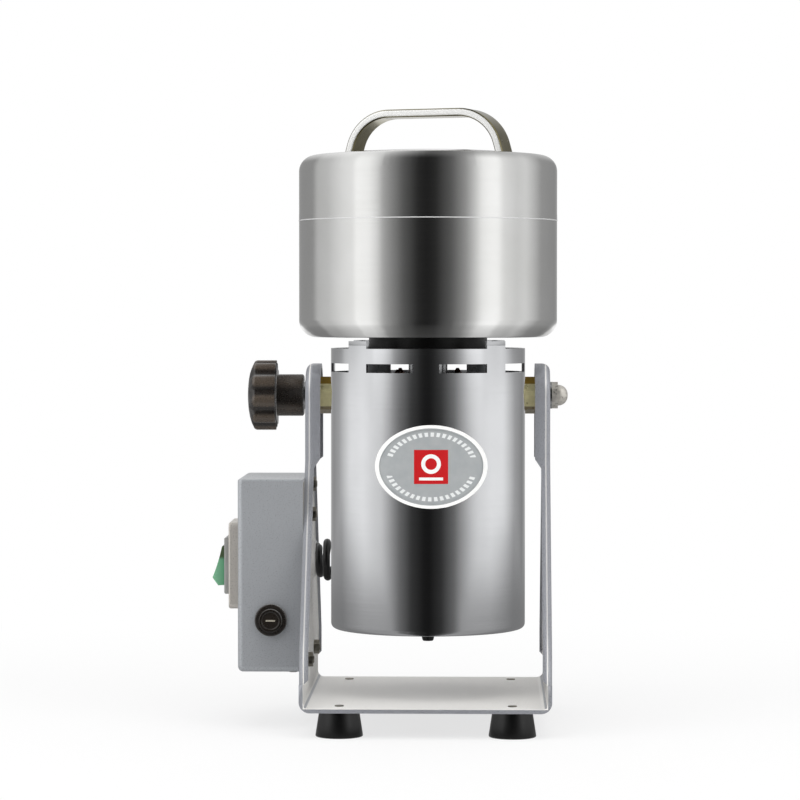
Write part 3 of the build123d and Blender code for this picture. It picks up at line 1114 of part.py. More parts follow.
def bowl():
    """The drawn bowl with its raised neck and the neck's bayonet lugs."""
    with BuildSketch(Plane.XZ) as half:
        with BuildLine():
            Line((SHIELD_LIP_RADIUS, BOWL_Z), (BOWL_RADIUS - BOWL_ROUND, BOWL_Z))
            RadiusArc((BOWL_RADIUS - BOWL_ROUND, BOWL_Z), (BOWL_RADIUS, BOWL_Z + BOWL_ROUND), -BOWL_ROUND)
            Polyline((BOWL_RADIUS, BOWL_Z + BOWL_ROUND), (BOWL_RADIUS, SHOULDER_Z), (NECK_RADIUS, SHOULDER_Z),
                     (NECK_RADIUS, NECK_TOP_Z), (NECK_RADIUS - NECK_WALL, NECK_TOP_Z),
                     (NECK_RADIUS - NECK_WALL, SHOULDER_Z - BOWL_WALL),
                     (BOWL_INNER, SHOULDER_Z - 2 * BOWL_WALL), (BOWL_INNER, BOWL_Z + BOWL_ROUND))
            RadiusArc((BOWL_INNER, BOWL_Z + BOWL_ROUND), (BOWL_RADIUS - BOWL_ROUND, BOWL_FLOOR_Z),
                      BOWL_ROUND - BOWL_WALL)
            Polyline((BOWL_RADIUS - BOWL_ROUND, BOWL_FLOOR_Z), (SHIELD_LIP_RADIUS, BOWL_FLOOR_Z),
                     (SHIELD_LIP_RADIUS, BOWL_Z))
        make_face()
    body = revolve(half.sketch, Axis.Z)
    lug = sector(NECK_RADIUS + LUG_REACH, NECK_RADIUS - FIT, (NECK_LUG_Z, NECK_LUG_Z + LUG_HEIGHT),
                 -LUG_ANGLE / 2, LUG_ANGLE)
    for piece in around(LUG_COUNT, lug):
        body += piece
    for hole in around(4, post(BOWL_SCREW_RADIUS + FIT, (0, BOWL_FLOOR_Z + 1), BOWL_SCREW_CIRCLE), 45):
        body -= hole
    return body


def bowl_bush():
    """The flanged steel bush that covers the seal inside the bowl."""
    body = post(BUSH_FLANGE_RADIUS, (BOWL_FLOOR_Z, BOWL_FLOOR_Z + BUSH_FLANGE))
    body += post(BOWL_BUSH_RADIUS, (BOWL_FLOOR_Z, BOWL_FLOOR_Z + BOWL_BUSH_HEIGHT))
    body = chamfer(body.edges().group_by(Axis.Z)[-1], BUSH_FLANGE / 2)
    return body - post(UPPER_BEARING_BORE + LOOSE_GAP, (0, 2 * BOWL_FLOOR_Z))


def bowl_screws():
    head = post(BOWL_SCREW_HEAD_RADIUS, (BOWL_FLOOR_Z, BOWL_FLOOR_Z + BOWL_SCREW_HEAD))
    head = fillet(head.edges().group_by(Axis.Z)[-1], BOWL_SCREW_HEAD / 3)
    screw = head + post(BOWL_SCREW_RADIUS, (BOWL_SCREW_END_Z + 2 * FIT, BOWL_FLOOR_Z + FIT))
    return group(around(4, Pos(BOWL_SCREW_CIRCLE, 0, 0) * screw, 45))


# ---------------------------------------------------------------- lid
def lid_section(inset, bottom):
    """Half section of the lid's outside, drawn in by an inset, down to a bottom height."""
    radius, corner, top = BOWL_RADIUS - inset, LID_ROUND - inset, LID_TOP_Z - inset
    with BuildSketch(Plane.XZ) as half:
        with BuildLine():
            Polyline((0, top + LID_CROWN), (0, bottom), (radius, bottom), (radius, top - corner))
            RadiusArc((radius, top - corner), (radius - corner, top), -corner)
            edge = BOWL_RADIUS - LID_ROUND
            Bezier((edge, top), (edge / 2, top + LID_CROWN), (0, top + LID_CROWN))
        make_face()
    return half.sketch


def lid_shell():
    """The spun lid with its inner bayonet lugs and the hub for the pressure plate's pin."""
    body = revolve(lid_section(0, SEAM_Z), Axis.Z) - revolve(lid_section(LID_WALL, SEAM_Z - 1), Axis.Z)
    lug = sector(LID_INNER + FIT, LID_INNER - LUG_REACH, (LID_LUG_Z, LID_LUG_Z + LUG_HEIGHT),
                 -LUG_ANGLE / 2, LUG_ANGLE)
    for piece in around(LUG_COUNT, lug, -LID_UNLOCK_ANGLE):
        body += piece
    body += post(LID_HUB_RADIUS, (LID_HUB_Z, LID_TOP_Z + LID_CROWN - LID_WALL))
    body -= post(LID_PIN_RADIUS + RUNNING_FIT, (0, LID_TOP_Z - 2 * LID_WALL))
    for x, y in handle_screw_places():
        body -= post(HANDLE_SCREW_RADIUS + FIT, (LID_HUB_Z, 2 * LID_TOP_Z), x, y)
    return body


def handle_screw_places():
    """Two screws up into each leg of the handle."""
    places = []
    for side in (-1, 1):
        for along in (-1, 1):
            x, y = side * HANDLE_FOOT, along * HANDLE_SCREW_SPACING / 2
            turn = radians(HANDLE_TURN)
            places.append((x * cos(turn) - y * sin(turn), x * sin(turn) + y * cos(turn)))
    return places


def handle():
    """A flat bar bent into a flat-topped arch, cut to the lid's crown at its feet."""
    low = LID_TOP_Z - 2 * HANDLE_SCREW_HEAD
    low_x = HANDLE_HALF_FOOT + HANDLE_SLOPE * (LID_TOP_Z - low)
    path = FilletPolyline((-low_x, low), (-HANDLE_HALF_TOP, HANDLE_LINE_Z), (HANDLE_HALF_TOP, HANDLE_LINE_Z),
                          (low_x, low), radius=HANDLE_BEND)
    strip = Plane.XZ * make_face(offset(path, HANDLE_THICK / 2, kind=Kind.INTERSECTION))
    bar = extrude(strip, HANDLE_WIDTH / 2, both=True)
    bar = fillet(bar.faces().filter_by(Plane.XZ).edges(), HANDLE_EDGE)
    bar = Rot(0, 0, HANDLE_TURN) * bar
    bar -= revolve(lid_section(0, 0), Axis.Z)
    for x, y in handle_screw_places():
        bar -= post(HANDLE_SCREW_RADIUS + FIT, (0, LID_TOP_Z + HANDLE_SCREW_DEPTH + FIT), x, y)
    return bar


def handle_screws():
    under = LID_TOP_Z - LID_WALL
    head = post(HANDLE_SCREW_HEAD_RADIUS, (under - HANDLE_SCREW_HEAD, under))
    screw = head + post(HANDLE_SCREW_RADIUS, (under - FIT, LID_TOP_Z + HANDLE_SCREW_DEPTH))
    return group(Pos(x, y, 0) * screw for x, y in handle_screw_places())


def lid_plate():
    """The pressure plate that closes the bowl while the lid turns over it."""
    plate = post(PLATE_RADIUS, (PLATE_Z, PLATE_Z + PLATE_THICK))
    return plate - post(LID_PIN_RADIUS + FIT, (0, 2 * PLATE_Z))


def lid_seal():
    outer = NECK_RADIUS + NECK_WALL / 2
    return ring(outer, outer - SEAL_WIDTH, (NECK_TOP_Z + FACE_GAP, PLATE_Z))


def lid_pin():
    """The pin that the lid turns on, riveted to the plate, with a retaining ring under the hub."""
    top = LID_TOP_Z - 2 * LID_WALL - LOOSE_GAP
    ring_top = LID_HUB_Z - LOOSE_GAP
    rivet_z = PLATE_Z + PLATE_THICK
    pin = post(LID_PIN_RADIUS, (PLATE_Z, top))
    pin += ring(LID_PIN_RIVET_RADIUS, LID_PIN_RADIUS - 1, (rivet_z, rivet_z + LID_PIN_RIVET))
    return pin + ring(LID_PIN_RING_RADIUS, LID_PIN_RADIUS - 1, (ring_top - LID_PIN_RING, ring_top))


# ---------------------------------------------------------------- write every piece
def rocker_reach():
    """How far the tilted rocker's crest stands out from the head's axis."""
    tilt = radians(ROCKER_TILT)
    out = (ROCKER_CREST + ROCKER_PIN_DEPTH) * cos(tilt) + ROCKER_CREST_Z * sin(tilt)
    return out - ROCKER_AXIS_X


PIECES = [
    bracket, rubber_feet, foot_screws, control_box, box_back_plate, cover_screws, box_studs, box_nuts,
    switch_boss, switch_body, rocker, fuse_holder, fuse_cap, fuse_link, mains_inlet, inlet_pins,
    lead_grommet, motor_lead, lead_bush, housing, housing_plug, badge, brass_bosses, boss_nuts,
    pivot_stud, pivot_washer, acorn_nut, clamp_washer, clamp_knob, clamp_stud, upper_end_shield,
    lower_end_shield, upper_bearing, lower_bearing, motor_bolts, stator_core, field_coils,
    brush_holders, carbon_brushes, brush_springs, shaft, shaft_sleeve, fan, armature_core,
    armature_windings, commutator, blade_spacer, blade_nut, collar, shaft_seal, bowl, bowl_bush,
    bowl_screws, lid_shell, handle, handle_screws, lid_plate, lid_seal, lid_pin,
]
MIDDLE_X = (rocker_reach() - ACORN_TIP_X) / 2


def build():
    pieces = {make.__name__: make() for make in PIECES}
    pieces["blades"] = group([blade(LOWER_BLADE_Z, -LOWER_BLADE_DROP, BLADE_TURN),
                              blade(UPPER_BLADE_Z, UPPER_BLADE_RISE, BLADE_TURN + 90)])
    return {name: Pos(MIDDLE_X, 0, 0) * piece for name, piece in pieces.items()}


os.makedirs("parts", exist_ok=True)
for name, piece in build().items():
    export_step(piece, f"parts/{name}.step")
    print(name, len(piece.solids()))
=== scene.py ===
# %% [markdown]
# # An analytical lab mill
# The mill is a motor in a stainless tube with a lidded grinding bowl on top, hung between the arms of
# a painted stand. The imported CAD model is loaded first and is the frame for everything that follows:
# it has the true sizes and places. Each later step either gives one of its pieces a real finish, or
# models that piece again with the detail that the CAD leaves out.

# %% Load the frame
import json
import math

import bmesh
import bpy
from mathutils import Matrix, Vector

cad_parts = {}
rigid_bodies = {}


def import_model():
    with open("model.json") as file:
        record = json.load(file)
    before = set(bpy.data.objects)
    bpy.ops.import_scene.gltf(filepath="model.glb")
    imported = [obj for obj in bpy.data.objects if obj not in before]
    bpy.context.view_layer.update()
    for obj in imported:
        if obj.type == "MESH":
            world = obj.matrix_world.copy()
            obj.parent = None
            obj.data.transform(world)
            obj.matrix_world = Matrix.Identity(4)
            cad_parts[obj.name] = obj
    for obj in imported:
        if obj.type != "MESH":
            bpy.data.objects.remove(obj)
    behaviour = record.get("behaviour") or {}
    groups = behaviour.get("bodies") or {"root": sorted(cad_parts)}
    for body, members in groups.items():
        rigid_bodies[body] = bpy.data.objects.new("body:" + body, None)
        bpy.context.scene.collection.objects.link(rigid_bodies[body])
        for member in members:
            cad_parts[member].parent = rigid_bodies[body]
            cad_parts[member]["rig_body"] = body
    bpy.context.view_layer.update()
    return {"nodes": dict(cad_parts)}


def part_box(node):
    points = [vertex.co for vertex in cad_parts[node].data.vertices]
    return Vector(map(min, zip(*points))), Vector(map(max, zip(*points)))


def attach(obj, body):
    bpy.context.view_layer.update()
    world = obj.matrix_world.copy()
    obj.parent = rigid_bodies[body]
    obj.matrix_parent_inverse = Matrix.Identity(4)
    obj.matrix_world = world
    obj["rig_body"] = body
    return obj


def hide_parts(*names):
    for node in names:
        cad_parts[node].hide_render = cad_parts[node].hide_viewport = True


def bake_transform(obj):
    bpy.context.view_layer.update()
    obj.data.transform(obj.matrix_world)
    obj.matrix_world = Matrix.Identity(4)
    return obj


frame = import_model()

nodes = frame["nodes"]
for thing in bpy.context.selected_objects:
    thing.select_set(False)

# %% [markdown]
# Blender works in metres, and the mill's sizes are easier to read in millimetres, so MM turns one
# into the other. The head hangs in the middle of the stand but not in the middle of the whole mill,
# because the control box stands out on one side. So the x of the head's axis is read from the tube.
# The lead's place is the middle of the hole that it leaves the stand by.

# %% Places that everything else is measured from
MM = 0.001
tube_low, tube_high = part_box("housing")
AXIS_X = (tube_low.x + tube_high.x) / 2
knob_low, knob_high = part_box("clamp_knob")
PIVOT_Z = (knob_low.z + knob_high.z) / 2
TUBE_RADIUS, BOWL_RADIUS = 55 * MM, 73 * MM
LEAD_Y, LEAD_Z = 12 * MM, 92 * MM
print("head axis at x =", round(AXIS_X / MM, 2), "mm, pivot at z =", round(PIVOT_Z / MM, 2), "mm")

# %% [markdown]
# The camera stands 1.8 m in front of the mill, a little to its right and level with the top of the
# tube, and looks straight ahead with a long lens, as for a catalogue picture.

# %% Camera
camera_data = bpy.data.cameras.new("camera")
camera_data.sensor_width = 36.0
camera_data.lens = 142.9
camera_data.clip_start = 0.05
camera_data.clip_end = 50.0
camera = bpy.data.objects.new("camera", camera_data)
bpy.context.scene.collection.objects.link(camera)
camera.location = (AXIS_X + 33.4 * MM, -1800 * MM, 232.7 * MM)
aim = Vector((AXIS_X - 15.9 * MM, 0, 182.8 * MM))
camera.rotation_euler = (aim - camera.location).to_track_quat("-Z", "Y").to_euler()
bpy.context.scene.camera = camera
print("camera", [round(v, 3) for v in camera.location])

# %% [markdown]
# Every finish below is a small tree of shader nodes. One helper turns a colour that is written as
# sRGB hex, as a painter would note it, into the linear numbers that Blender computes with. Another
# adds one node, sets it up and links it. The others are short names for what comes up most: a sum, a
# change of range, a mix of colours, a place measured from a centre, and a new material.

# %% Colour and node helpers
def linear(hex_colour):
    """The linear RGBA of an sRGB colour such as '8A8D90'."""
    parts = [int(hex_colour[i:i + 2], 16) / 255 for i in (0, 2, 4)]
    return tuple(p / 12.92 if p <= 0.04045 else ((p + 0.055) / 1.055) ** 2.4 for p in parts) + (1.0,)


def add(tree, kind, sockets=None, **settings):
    """Adds a shader node. A socket takes a number, a colour or another node's output."""
    made = tree.nodes.new("ShaderNode" + kind)
    for name, value in settings.items():
        setattr(made, name, value)
    for name, value in (sockets or {}).items():
        if isinstance(value, bpy.types.NodeSocket):
            tree.links.new(value, made.inputs[name])
        else:
            made.inputs[name].default_value = value
    return made


def calc(tree, operation, *values):
    """The result of one sum on numbers."""
    return add(tree, "Math", dict(enumerate(values)), operation=operation).outputs[0]


def vector(tree, operation, *values):
    """The result of one sum on vectors: a number for a length or a dot product, else a vector."""
    made = add(tree, "VectorMath", dict(enumerate(values)), operation=operation)
    return made.outputs["Value" if operation in ("LENGTH", "DOT_PRODUCT") else "Vector"]


def remap(tree, value, start, end, low=0.0, high=1.0, curve="LINEAR"):
    """Goes from low to high while a value goes from start to end, and stays there beyond them."""
    sockets = {"Value": value, "From Min": start, "From Max": end, "To Min": low, "To Max": high}
    return add(tree, "MapRange", sockets, interpolation_type=curve).outputs[0]


def mix(tree, share, first, second):
    """A colour between two others, each one sRGB hex, linear numbers or an output."""
    first, second = (linear(tone) if isinstance(tone, str) else tone for tone in (first, second))
    return add(tree, "Mix", {0: share, 6: first, 7: second}, data_type="RGBA").outputs[2]


def measured(tree, x=0.0, y=0.0, z=0.0):
    """Each point's place from a centre, as a vector and as its three parts."""
    middle = vector(tree, "SUBTRACT", add(tree, "TexCoord").outputs["Object"], (x, y, z))
    parts = add(tree, "SeparateXYZ", {0: middle}).outputs
    return middle, parts["X"], parts["Y"], parts["Z"]


def off_axis(tree, first, second):
    """The distance from an axis, out of the two measures across it."""
    return vector(tree, "LENGTH", add(tree, "CombineXYZ", {"X": first, "Y": second}).outputs[0])


def finish(name, **values):
    """A new material with one Principled shader, given its constant values. Returns all three."""
    material = bpy.data.materials.new(name)
    material.use_nodes = True
    shader = material.node_tree.nodes["Principled BSDF"]
    for socket, value in values.items():
        shader.inputs[socket.replace("_", " ")].default_value = value
    return material, material.node_tree, shader


def feed(shader, **outputs):
    """Links outputs to a shader's inputs."""
    for name, output in outputs.items():
        shader.id_data.links.new(output, shader.inputs[name.replace("_", " ")])


print("linear mid grey:", [round(v, 3) for v in linear("808080")])

# %% [markdown]
# The studio is a white table with white paper behind it. The camera sees both as pure white, so the
# paper has no edge, and only the mill's soft shadow shows on the table. A part of the table's white
# is its own light, for the camera alone, and the rest is lit, so the shadow stays faint. Further out
# all of it is its own light.

# %% Table
bpy.ops.mesh.primitive_grid_add(x_subdivisions=2, y_subdivisions=2, size=14.0, location=(0, 0, 0))
table = bpy.context.object
table.name = "studio_table"
table_paper, tree, paper = finish("white_table_paper", Base_Color=linear("F6F6F6"), Roughness=0.9)
middle, x, y, z = measured(tree)
own_light = remap(tree, vector(tree, "LENGTH", middle), 0.15, 0.6, 0.72, 1.0, "SMOOTHSTEP")
path = add(tree, "LightPath").outputs
seen = calc(tree, "MAXIMUM", path["Is Camera Ray"], path["Is Transmission Ray"])
share = calc(tree, "MULTIPLY", own_light, seen)
white = add(tree, "Emission", {"Color": (1, 1, 1, 1), "Strength": 1.0})
blend = add(tree, "MixShader", {0: share, 1: paper.outputs[0], 2: white.outputs[0]})
tree.links.new(blend.outputs[0], tree.nodes["Material Output"].inputs[0])
table.data.materials.append(table_paper)
table.visible_glossy = False
table.select_set(False)
print("table", round(table.dimensions.x, 1), "m across")

# %% [markdown]
# The room is white paper all round. The camera and reflections see it at full white. As a light on
# the mill it is weaker, so that the lamps shape the pieces and the small ones keep their shadows.

# %% World
world = bpy.data.worlds.new("studio")
bpy.context.scene.world = world
world.use_nodes = True
tree = world.node_tree
back = tree.nodes["Background"]
back.inputs["Color"].default_value = (1, 1, 1, 1)
path = add(tree, "LightPath").outputs
seen = calc(tree, "MAXIMUM", path["Is Camera Ray"], path["Is Glossy Ray"])
seen = calc(tree, "MAXIMUM", seen, path["Is Transmission Ray"])
feed(back, Strength=remap(tree, seen, 0.0, 1.0, 0.6, 1.0))
bpy.context.scene.view_settings.view_transform = "Standard"
print("world ready")

# %% [markdown]
# Three square soft boxes light the painted and moulded pieces: one from each side in front, and a
# larger one from above. They are out of sight of the steel, which gets its light from the tent below.

# %% Lamps
def soft_lamp(name, place, size, watts):
    """A square soft box that faces the mill."""
    data = bpy.data.lights.new(name, "AREA")
    data.shape = "SQUARE"
    data.size = size
    data.energy = watts
    lamp = bpy.data.objects.new(name, data)
    lamp.location = place
    lamp.rotation_euler = (Vector((AXIS_X, 0, 0.18)) - lamp.location).to_track_quat("-Z", "Y").to_euler()
    bpy.context.scene.collection.objects.link(lamp)
    lamp.visible_glossy = False


soft_lamp("soft_box_left", (-1.5, -1.2, 1.1), 1.2, 12)
soft_lamp("soft_box_right", (1.6, -1.3, 1.2), 1.2, 12)
soft_lamp("soft_box_top", (0.0, -0.5, 1.9), 1.4, 13)
print("three soft boxes")

# %% [markdown]
# Polished steel shows little but its surroundings, so how the studio is hung decides how the mill
# looks. Round the table stands a tent of cloth that only reflections see: dark in front, where the
# room is, two white panels half-way round each side, grey further back, and the white paper behind
# the mill. The bowl sees the tent's wall and the tube sees the table out to it, so the wall and the
# table have their own tones. Near the mill the table is darker, which lets the bright bands fade out
# towards the bottom of the tube.

# %% Reflection tent
WALL_TONES = [(-180, 1.0), (-170, 0.4), (-156, 0.31), (-122, 0.33), (-114, 0.57), (-98, 0.62), (-80, 0.88),
              (-68, 1.0), (-65, 1.22), (-52, 1.15), (-44, 0.86), (-39, 0.48), (-32, 0.32), (-21, 0.12),
              (-8, 0.025), (0, 0.015), (8, 0.026), (22, 0.125), (34, 0.35), (42, 0.68), (49, 1.08), (56, 1.2),
              (65, 1.22), (71, 0.9), (86, 0.74), (97, 0.8), (120, 0.36), (156, 0.29), (170, 0.4), (180, 1.0)]
TABLE_TONES = [(-180, 0.8), (-165, 0.4), (-150, 0.32), (-131, 0.44), (-116, 0.74), (-103, 1.0), (-83, 1.05),
               (-65, 0.83), (-56, 0.74), (-49, 0.54), (-41, 0.33), (-33, 0.17), (-19, 0.045), (-4, 0.012),
               (3, 0.01), (17, 0.038), (32, 0.16), (47, 0.5), (55, 0.72), (63, 0.88), (81, 1.02), (101, 1.03),
               (113, 0.76), (127, 0.45), (150, 0.27), (165, 0.4), (180, 0.8)]
ROOF_TONES = [(-180, 0.8), (-80, 1.1), (-40, 0.7), (0, 0.15), (55, 0.38), (110, 0.55), (180, 0.8)]


def bands(tree, levels, share):
    """Bands of light from (degrees round, tone) pairs, where the share runs from 0 to 1 round the mill."""
    ramp = add(tree, "ValToRGB", {0: share})
    stops = ramp.color_ramp.elements
    stops.remove(stops[1])
    for i, (angle, tone) in enumerate(levels):
        stop = stops[0] if i == 0 else stops.new(0.5 + angle / 360)
        stop.position = 0.5 + angle / 360
        stop.color = (tone, tone, tone, 1)
    return ramp.outputs["Color"]


def turn_from_front(tree, x, y):
    """The angle round the mill, from its front."""
    return calc(tree, "ARCTAN2", x, calc(tree, "MULTIPLY", y, -1.0))


def round_about(tree, x, y, start):
    """For a level sheet that a wall of this radius is mirrored in: the share round it, the distance from
    the axis, and how far sideways the wall faces there."""
    reach = off_axis(tree, x, y)
    steep = calc(tree, "SUBTRACT", 2.0, calc(tree, "DIVIDE", start, reach))
    facing = calc(tree, "DIVIDE", turn_from_front(tree, x, y), calc(tree, "MAXIMUM", steep, 1.0))
    share = calc(tree, "MULTIPLY_ADD", facing, 1 / math.pi, 0.5)
    return share, reach, calc(tree, "ABSOLUTE", facing)


def hang(sheet, name, material, tree, surface):
    """Gives a sheet its name and its glowing surface, and shows it to reflections alone."""
    tree.links.new(surface, tree.nodes["Material Output"].inputs[0])
    sheet.name = name
    sheet.data.materials.append(material)
    sheet.visible_camera = sheet.visible_diffuse = False
    sheet.visible_shadow = sheet.visible_transmission = False
    sheet.select_set(False)


bpy.ops.mesh.primitive_cylinder_add(vertices=128, radius=4.0, depth=6.0, end_fill_type="NGON",
                                    location=(AXIS_X, 0, 3.0 + 0.5 * MM))
tent = bpy.context.object
bpy.ops.object.transform_apply(location=True, rotation=True, scale=True)
tent_cloth, tree, shader = finish("tent_cloth")
tree.nodes.remove(shader)
# the wall that sends this point's light to the camera faces halfway between the two
middle, x, y, z = measured(tree, AXIS_X, 0, 0.25)
facing = vector(tree, "SUBTRACT", vector(tree, "NORMALIZE", middle), (0, 1, 0))
parts = add(tree, "SeparateXYZ", {0: facing}).outputs
share = calc(tree, "MULTIPLY_ADD", turn_from_front(tree, parts["X"], parts["Y"]), 1 / math.pi, 0.5)
# the table's bands, and the most that each place may glow, which falls off towards the mill
table_share, reach, sideways = round_about(tree, x, y, TUBE_RADIUS)
least = remap(tree, sideways, math.radians(40), math.radians(60), 0.36, 0.24)
gain = remap(tree, sideways, math.radians(40), math.radians(62), 0.95, 0.2)
beyond = calc(tree, "MAXIMUM", calc(tree, "SUBTRACT", reach, 0.72), 0.0)
most = calc(tree, "MULTIPLY_ADD", gain, beyond, least)
ground = vector(tree, "MINIMUM", bands(tree, TABLE_TONES, table_share), most)
wall = remap(tree, z, -0.17, -0.06, curve="SMOOTHSTEP")
side = mix(tree, wall, ground, bands(tree, WALL_TONES, share))
tilt = calc(tree, "DIVIDE", parts["Z"], vector(tree, "LENGTH", facing))
roof = remap(tree, tilt, 0.5, 0.95, 0.0, 0.75, "SMOOTHSTEP")
whole = mix(tree, roof, side, bands(tree, ROOF_TONES, share))
glow = add(tree, "Emission", {"Color": whole, "Strength": 1.0})
hang(tent, "reflection_tent", tent_cloth, tree, glow.outputs[0])
print("tent with", len(WALL_TONES), "and", len(TABLE_TONES), "tones")

# %% [markdown]
# The bowl's lower rounding looks steeply down, at the table close to the mill. A round card with a
# hole, just under the bowl, gives the rounding the same bands of light as its wall, only weaker
# towards the hole, where a sheet so near the steel is in its shade. Only reflections see the card,
# and only from above, so the tube below it is left alone.

# %% Card under the bowl
CARD_RADIUS, CARD_HOLE, CARD_Z = 0.75, 0.057, 214 * MM
bpy.ops.mesh.primitive_circle_add(vertices=96, radius=CARD_RADIUS, fill_type="NGON",
                                  location=(AXIS_X, 0, CARD_Z))
card = bpy.context.object
bpy.ops.object.transform_apply(location=True, rotation=True, scale=True)
bpy.ops.object.mode_set(mode="EDIT")
bpy.ops.mesh.select_all(action="SELECT")
bpy.ops.mesh.inset(thickness=CARD_RADIUS - CARD_HOLE)
bpy.ops.mesh.delete(type="ONLY_FACE")
bpy.ops.object.mode_set(mode="OBJECT")
white_card, tree, shader = finish("white_card")
tree.nodes.remove(shader)
middle, x, y, z = measured(tree, AXIS_X)
share, reach, sideways = round_about(tree, x, y, BOWL_RADIUS)
shade = remap(tree, reach, 0.058, 0.1, 0.55, 0.0)
shaded = mix(tree, shade, bands(tree, WALL_TONES, share), (0.1, 0.1, 0.1, 1))
glow = add(tree, "Emission", {"Color": shaded, "Strength": 1.0})
clear = add(tree, "BsdfTransparent")
below = add(tree, "NewGeometry").outputs["Backfacing"]
sheet = add(tree, "MixShader", {0: below, 1: glow.outputs[0], 2: clear.outputs[0]})
hang(card, "reflection_card", white_card, tree, sheet.outputs[0])
print("card", round(card.dimensions.x, 2), "m across")

# %% [markdown]
# The stand and the small pieces on it are left out of reflections, as black flags in a studio would
# keep them off the tube. Without this, both arms would show as dark wedges on its flanks.

# %% Keep the stand off the steel
KEPT_OFF = ("stand", "rocker", "fuse", "fuse_cap", "clamp_washer", "clamp_knob")
for name, piece in nodes.items():
    if piece["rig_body"] in KEPT_OFF:
        piece.visible_glossy = False
for name in ("brass_bosses", "pivot_stud", "pivot_washer", "acorn_nut", "badge", "lead_bush"):
    nodes[name].visible_glossy = False
print("stand kept out of reflections")

# %% [markdown]
# ## Finishes
# Turned and spun pieces carry fine lines round their axis, left by the cutting or polishing tool.
# A pattern of such lines changes fast with height and with distance from the axis, and slowly round
# it. Adding height and distance gives one number that does this on walls and on flat faces alike.

# %% Patterns
def turning_lines(tree, spacing_mm):
    """A noise that runs in rings round the head's axis, with this spacing between the rings."""
    middle, x, y, z = measured(tree, AXIS_X)
    fast = calc(tree, "MULTIPLY", calc(tree, "ADD", off_axis(tree, x, y), z), 1 / (spacing_mm * MM))
    drawn = add(tree, "CombineXYZ", {"X": calc(tree, "MULTIPLY", x, 12.0),
                                     "Y": calc(tree, "MULTIPLY", y, 12.0), "Z": fast})
    return add(tree, "TexNoise", {"Vector": drawn.outputs[0], "Scale": 1.0, "Detail": 2.0}).outputs[0]


def blotches(tree, size_mm, detail=3.0):
    """A soft noise with patches of this size, in the piece's own place."""
    place = add(tree, "TexCoord").outputs["Object"]
    return add(tree, "TexNoise", {"Vector": place, "Scale": 1 / (size_mm * MM), "Detail": detail}).outputs[0]


def spread(tree, noise, low=0.0, high=1.0):
    """Stretches the middle of a noise to run between two values."""
    return remap(tree, noise, 0.3, 0.7, low, high)


def look(tree, shader, tone_noise, dark, light, gloss_noise, low, high):
    """Colours a finish between two tones by one noise, and its roughness between two values by another."""
    colour = mix(tree, spread(tree, tone_noise), dark, light)
    feed(shader, Base_Color=colour, Roughness=spread(tree, gloss_noise, low, high))
    return colour


def relief(tree, shader, height, depth_mm):
    """A bump of a real depth on a shader."""
    bump = add(tree, "Bump", {"Height": height, "Distance": depth_mm * MM, "Strength": 1.0})
    feed(shader, Normal=bump.outputs[0])


def wear(material, *names):
    """Gives CAD nodes a finish."""
    for name in names:
        nodes[name].data.materials.clear()
        nodes[name].data.materials.append(material)


print("pattern helpers ready")

# %% [markdown]
# The bowl and its lid are spun from stainless sheet and then polished with a fine wheel. Spinning
# leaves rings, and polishing nearly removes them, so they only just disturb a reflection.

# %% Polished spun stainless
# polished_spun_stainless: clean bands of light and dark, very slightly frayed where a ring crosses them
spun_steel, tree, shader = finish("polished_spun_stainless", Metallic=1.0)
rings = turning_lines(tree, 0.7)
look(tree, shader, blotches(tree, 35.0), "DBDBD9", "E2E2E1", rings, 0.11, 0.16)
relief(tree, shader, rings, 0.0012)
wear(spun_steel, "bowl", "lid_shell", "lid_plate")
print("bowl and lid polished")

# %% [markdown]
# The motor's tube is drawn, not spun, and finished with a finer satin belt as it turns. Its rings are
# closer together than the bowl's and shallower, and its steel is a little bluer.

# %% Satin stainless tube
# satin_drawn_stainless: cool bands of light that fade towards the bench, with a hair-fine grain round them
satin_steel, tree, shader = finish("satin_drawn_stainless", Metallic=1.0)
rings = turning_lines(tree, 0.45)
look(tree, shader, blotches(tree, 28.0), "D8D9DB", "DEDFE1", rings, 0.1, 0.14)
relief(tree, shader, rings, 0.001)
wear(satin_steel, "housing")
print("tube finished")

# %% [markdown]
# The stand and the box are folded sheet with a semi-gloss powder coat. The powder melts into a skin
# with a slight orange peel, about a millimetre from hill to hill, and the colour of a batch drifts a
# little over a piece. The inner side of the stand, told by how deep it lies under the outer one, and a
# collar round the lead's hole get painted light: a warm white with little metal, for the light that
# brightens them. The rolled bends of its rims, told by how near they lie to both the side and the edge
# of an arm, get a painted shade, a darker grey that dims the highlight along them.

# %% Powder coat
ARM_OUTER, BASE_UNDER = 69.0 * MM, 14.2 * MM
INNER_DEPTH, INNER_MARGIN = 2.55 * MM, 0.36 * MM
COLLAR_REACH, COLLAR_DEPTH = 13 * MM, 1.5 * MM
# an arm's outline: its half width at two heights
WIDE_Z, WIDE_HALF, NARROW_Z, NARROW_HALF = 46 * MM, 78.3 * MM, 150 * MM, 18 * MM
BEND_START_Z, BEND_FULL_Z, BEND_SHADE_SHARE = 34 * MM, 60 * MM, 0.55


def powder_coat(name, dark, light):
    """A metallic powder coat whose colour drifts between two near tones. Returns its colour as well."""
    coat, tree, shader = finish(name, Metallic=0.45)
    colour = look(tree, shader, blotches(tree, 45.0), dark, light, blotches(tree, 0.5, detail=1.0), 0.26, 0.36)
    relief(tree, shader, blotches(tree, 1.1, detail=1.0), 0.012)
    return coat, tree, shader, colour
